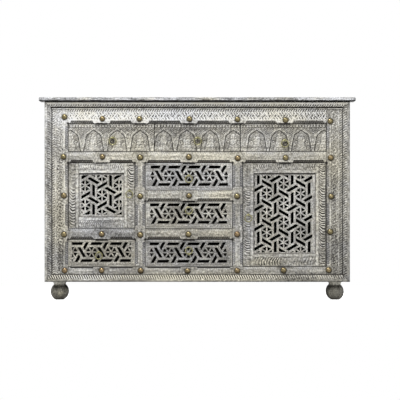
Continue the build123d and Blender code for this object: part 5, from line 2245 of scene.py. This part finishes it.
@dataclass
class Studio:
    """A pale floor, soft lamps and a camera straight in front."""

    picture: int = 400
    scale: float = 4.42 * MM
    centre_column: float = 197.25
    ground_row: float = 299.75
    distance: float = 40.0
    sensor: float = 36.0
    floor_size: float = 12.0
    floor_tone: Colour = (0.82, 0.82, 0.82)
    floor_roughness: float = 0.9
    floor_glow: float = 0.80
    sky: float = 0.36
    sky_in_gloss: float = 0.8

    def place_camera(self) -> None:
        """Sets the camera so that the object fills the frame as wanted."""
        half = self.picture / 2
        x = (half - self.centre_column) * self.scale
        z = (self.ground_row - half) * self.scale
        face_y = CaseSizes.face_y
        data = bpy.data.cameras.new("camera")
        data.sensor_width = self.sensor
        data.lens = self.sensor * self.distance / (self.picture * self.scale)
        data.clip_end = 2 * self.distance
        camera = bpy.data.objects.new("camera", data)
        camera.location = (x, face_y - self.distance, z)
        camera.rotation_euler = (math.radians(90), 0, 0)
        bpy.context.scene.collection.objects.link(camera)
        bpy.context.scene.camera = camera

    def lay_floor(self) -> None:
        """A wide pale floor that shows white and keeps soft shadows."""
        bm = bmesh.new()
        bmesh.ops.create_grid(bm, x_segments=1, y_segments=1, size=self.floor_size / 2)
        floor = finish_object("floor", bm, flat=True)
        material, graph, shader = new_material("floor_white")
        graph.put(shader.inputs["Base Color"], self.floor_tone)
        shader.inputs["Roughness"].default_value = self.floor_roughness
        shader.inputs["Specular IOR Level"].default_value = 0.0
        glow = graph.add("ShaderNodeEmission")
        path = graph.add("ShaderNodeLightPath")
        seen = graph.times(path.outputs["Is Camera Ray"], self.floor_glow)
        graph.put(glow.inputs["Strength"], seen)
        both = graph.add("ShaderNodeAddShader")
        graph.put(both.inputs[0], shader.outputs[0])
        graph.put(both.inputs[1], glow.outputs[0])
        out = material.node_tree.nodes["Material Output"]
        graph.put(out.inputs["Surface"], both.outputs[0])
        floor.data.materials.append(material)

    def light_world(self) -> None:
        """A dim even sky that shows white to the eye and to gloss."""
        world = bpy.data.worlds.new("studio")
        bpy.context.scene.world = world
        world.use_nodes = True
        graph = Graph(world.node_tree)
        back = world.node_tree.nodes["Background"]
        path = graph.add("ShaderNodeLightPath").outputs
        eye = graph.math("MAXIMUM", path["Is Camera Ray"], path["Is Transmission Ray"])
        gloss = graph.times(path["Is Glossy Ray"], self.sky_in_gloss)
        seen = graph.math("MAXIMUM", eye, gloss)
        strength = graph.math("MULTIPLY_ADD", seen, 1.0 - self.sky, self.sky)
        graph.put(back.inputs["Strength"], strength)
        back.inputs["Color"].default_value = (1, 1, 1, 1)

    def build(self) -> None:
        """Sets up camera, floor, sky and lamps."""
        self.place_camera()
        self.lay_floor()
        self.light_world()
        for lamp in LAMPS:
            lamp.hang()
        bpy.context.scene.view_settings.view_transform = "Standard"


def main() -> None:
    """Builds every sub-assembly in order and reports each piece."""
    logging.basicConfig(level=logging.INFO, format="%(name)s: %(message)s")
    makers: list[tuple[str, Callable[[], object]]] = [
        ("face frame", FaceFrame().build),
        ("moulding", Moulding().build),
        ("top drawers", TopDrawers().build),
        ("left door frame", DoorFrame("left_door", -1).build),
        ("right door frame", DoorFrame("right_door", 1).build),
        ("studs", Studs().build),
        ("top board", TopBoard().build),
        ("feet", BunFeet().build),
    ]
    boards = [(name, "front") for name in PIERCED_DRAWERS] + [(name, "panel") for name in DOORS]
    for body, part in boards:
        title = f"{body}_pierced_{part}"
        board = PiercedBoard(f"{body}_{part}", body, title, PIERCED_FINISHES[body])
        makers.append((title, board.build))
    for title, make in makers:
        made = make()
        pieces = made if isinstance(made, list) else [made]
        for piece in pieces:
            LOG.info("%s: %s, %d faces", title, piece.name, len(piece.data.polygons))
    CarriedNodes().build()
    Studio().build()


if __name__ == "__main__":
    main()
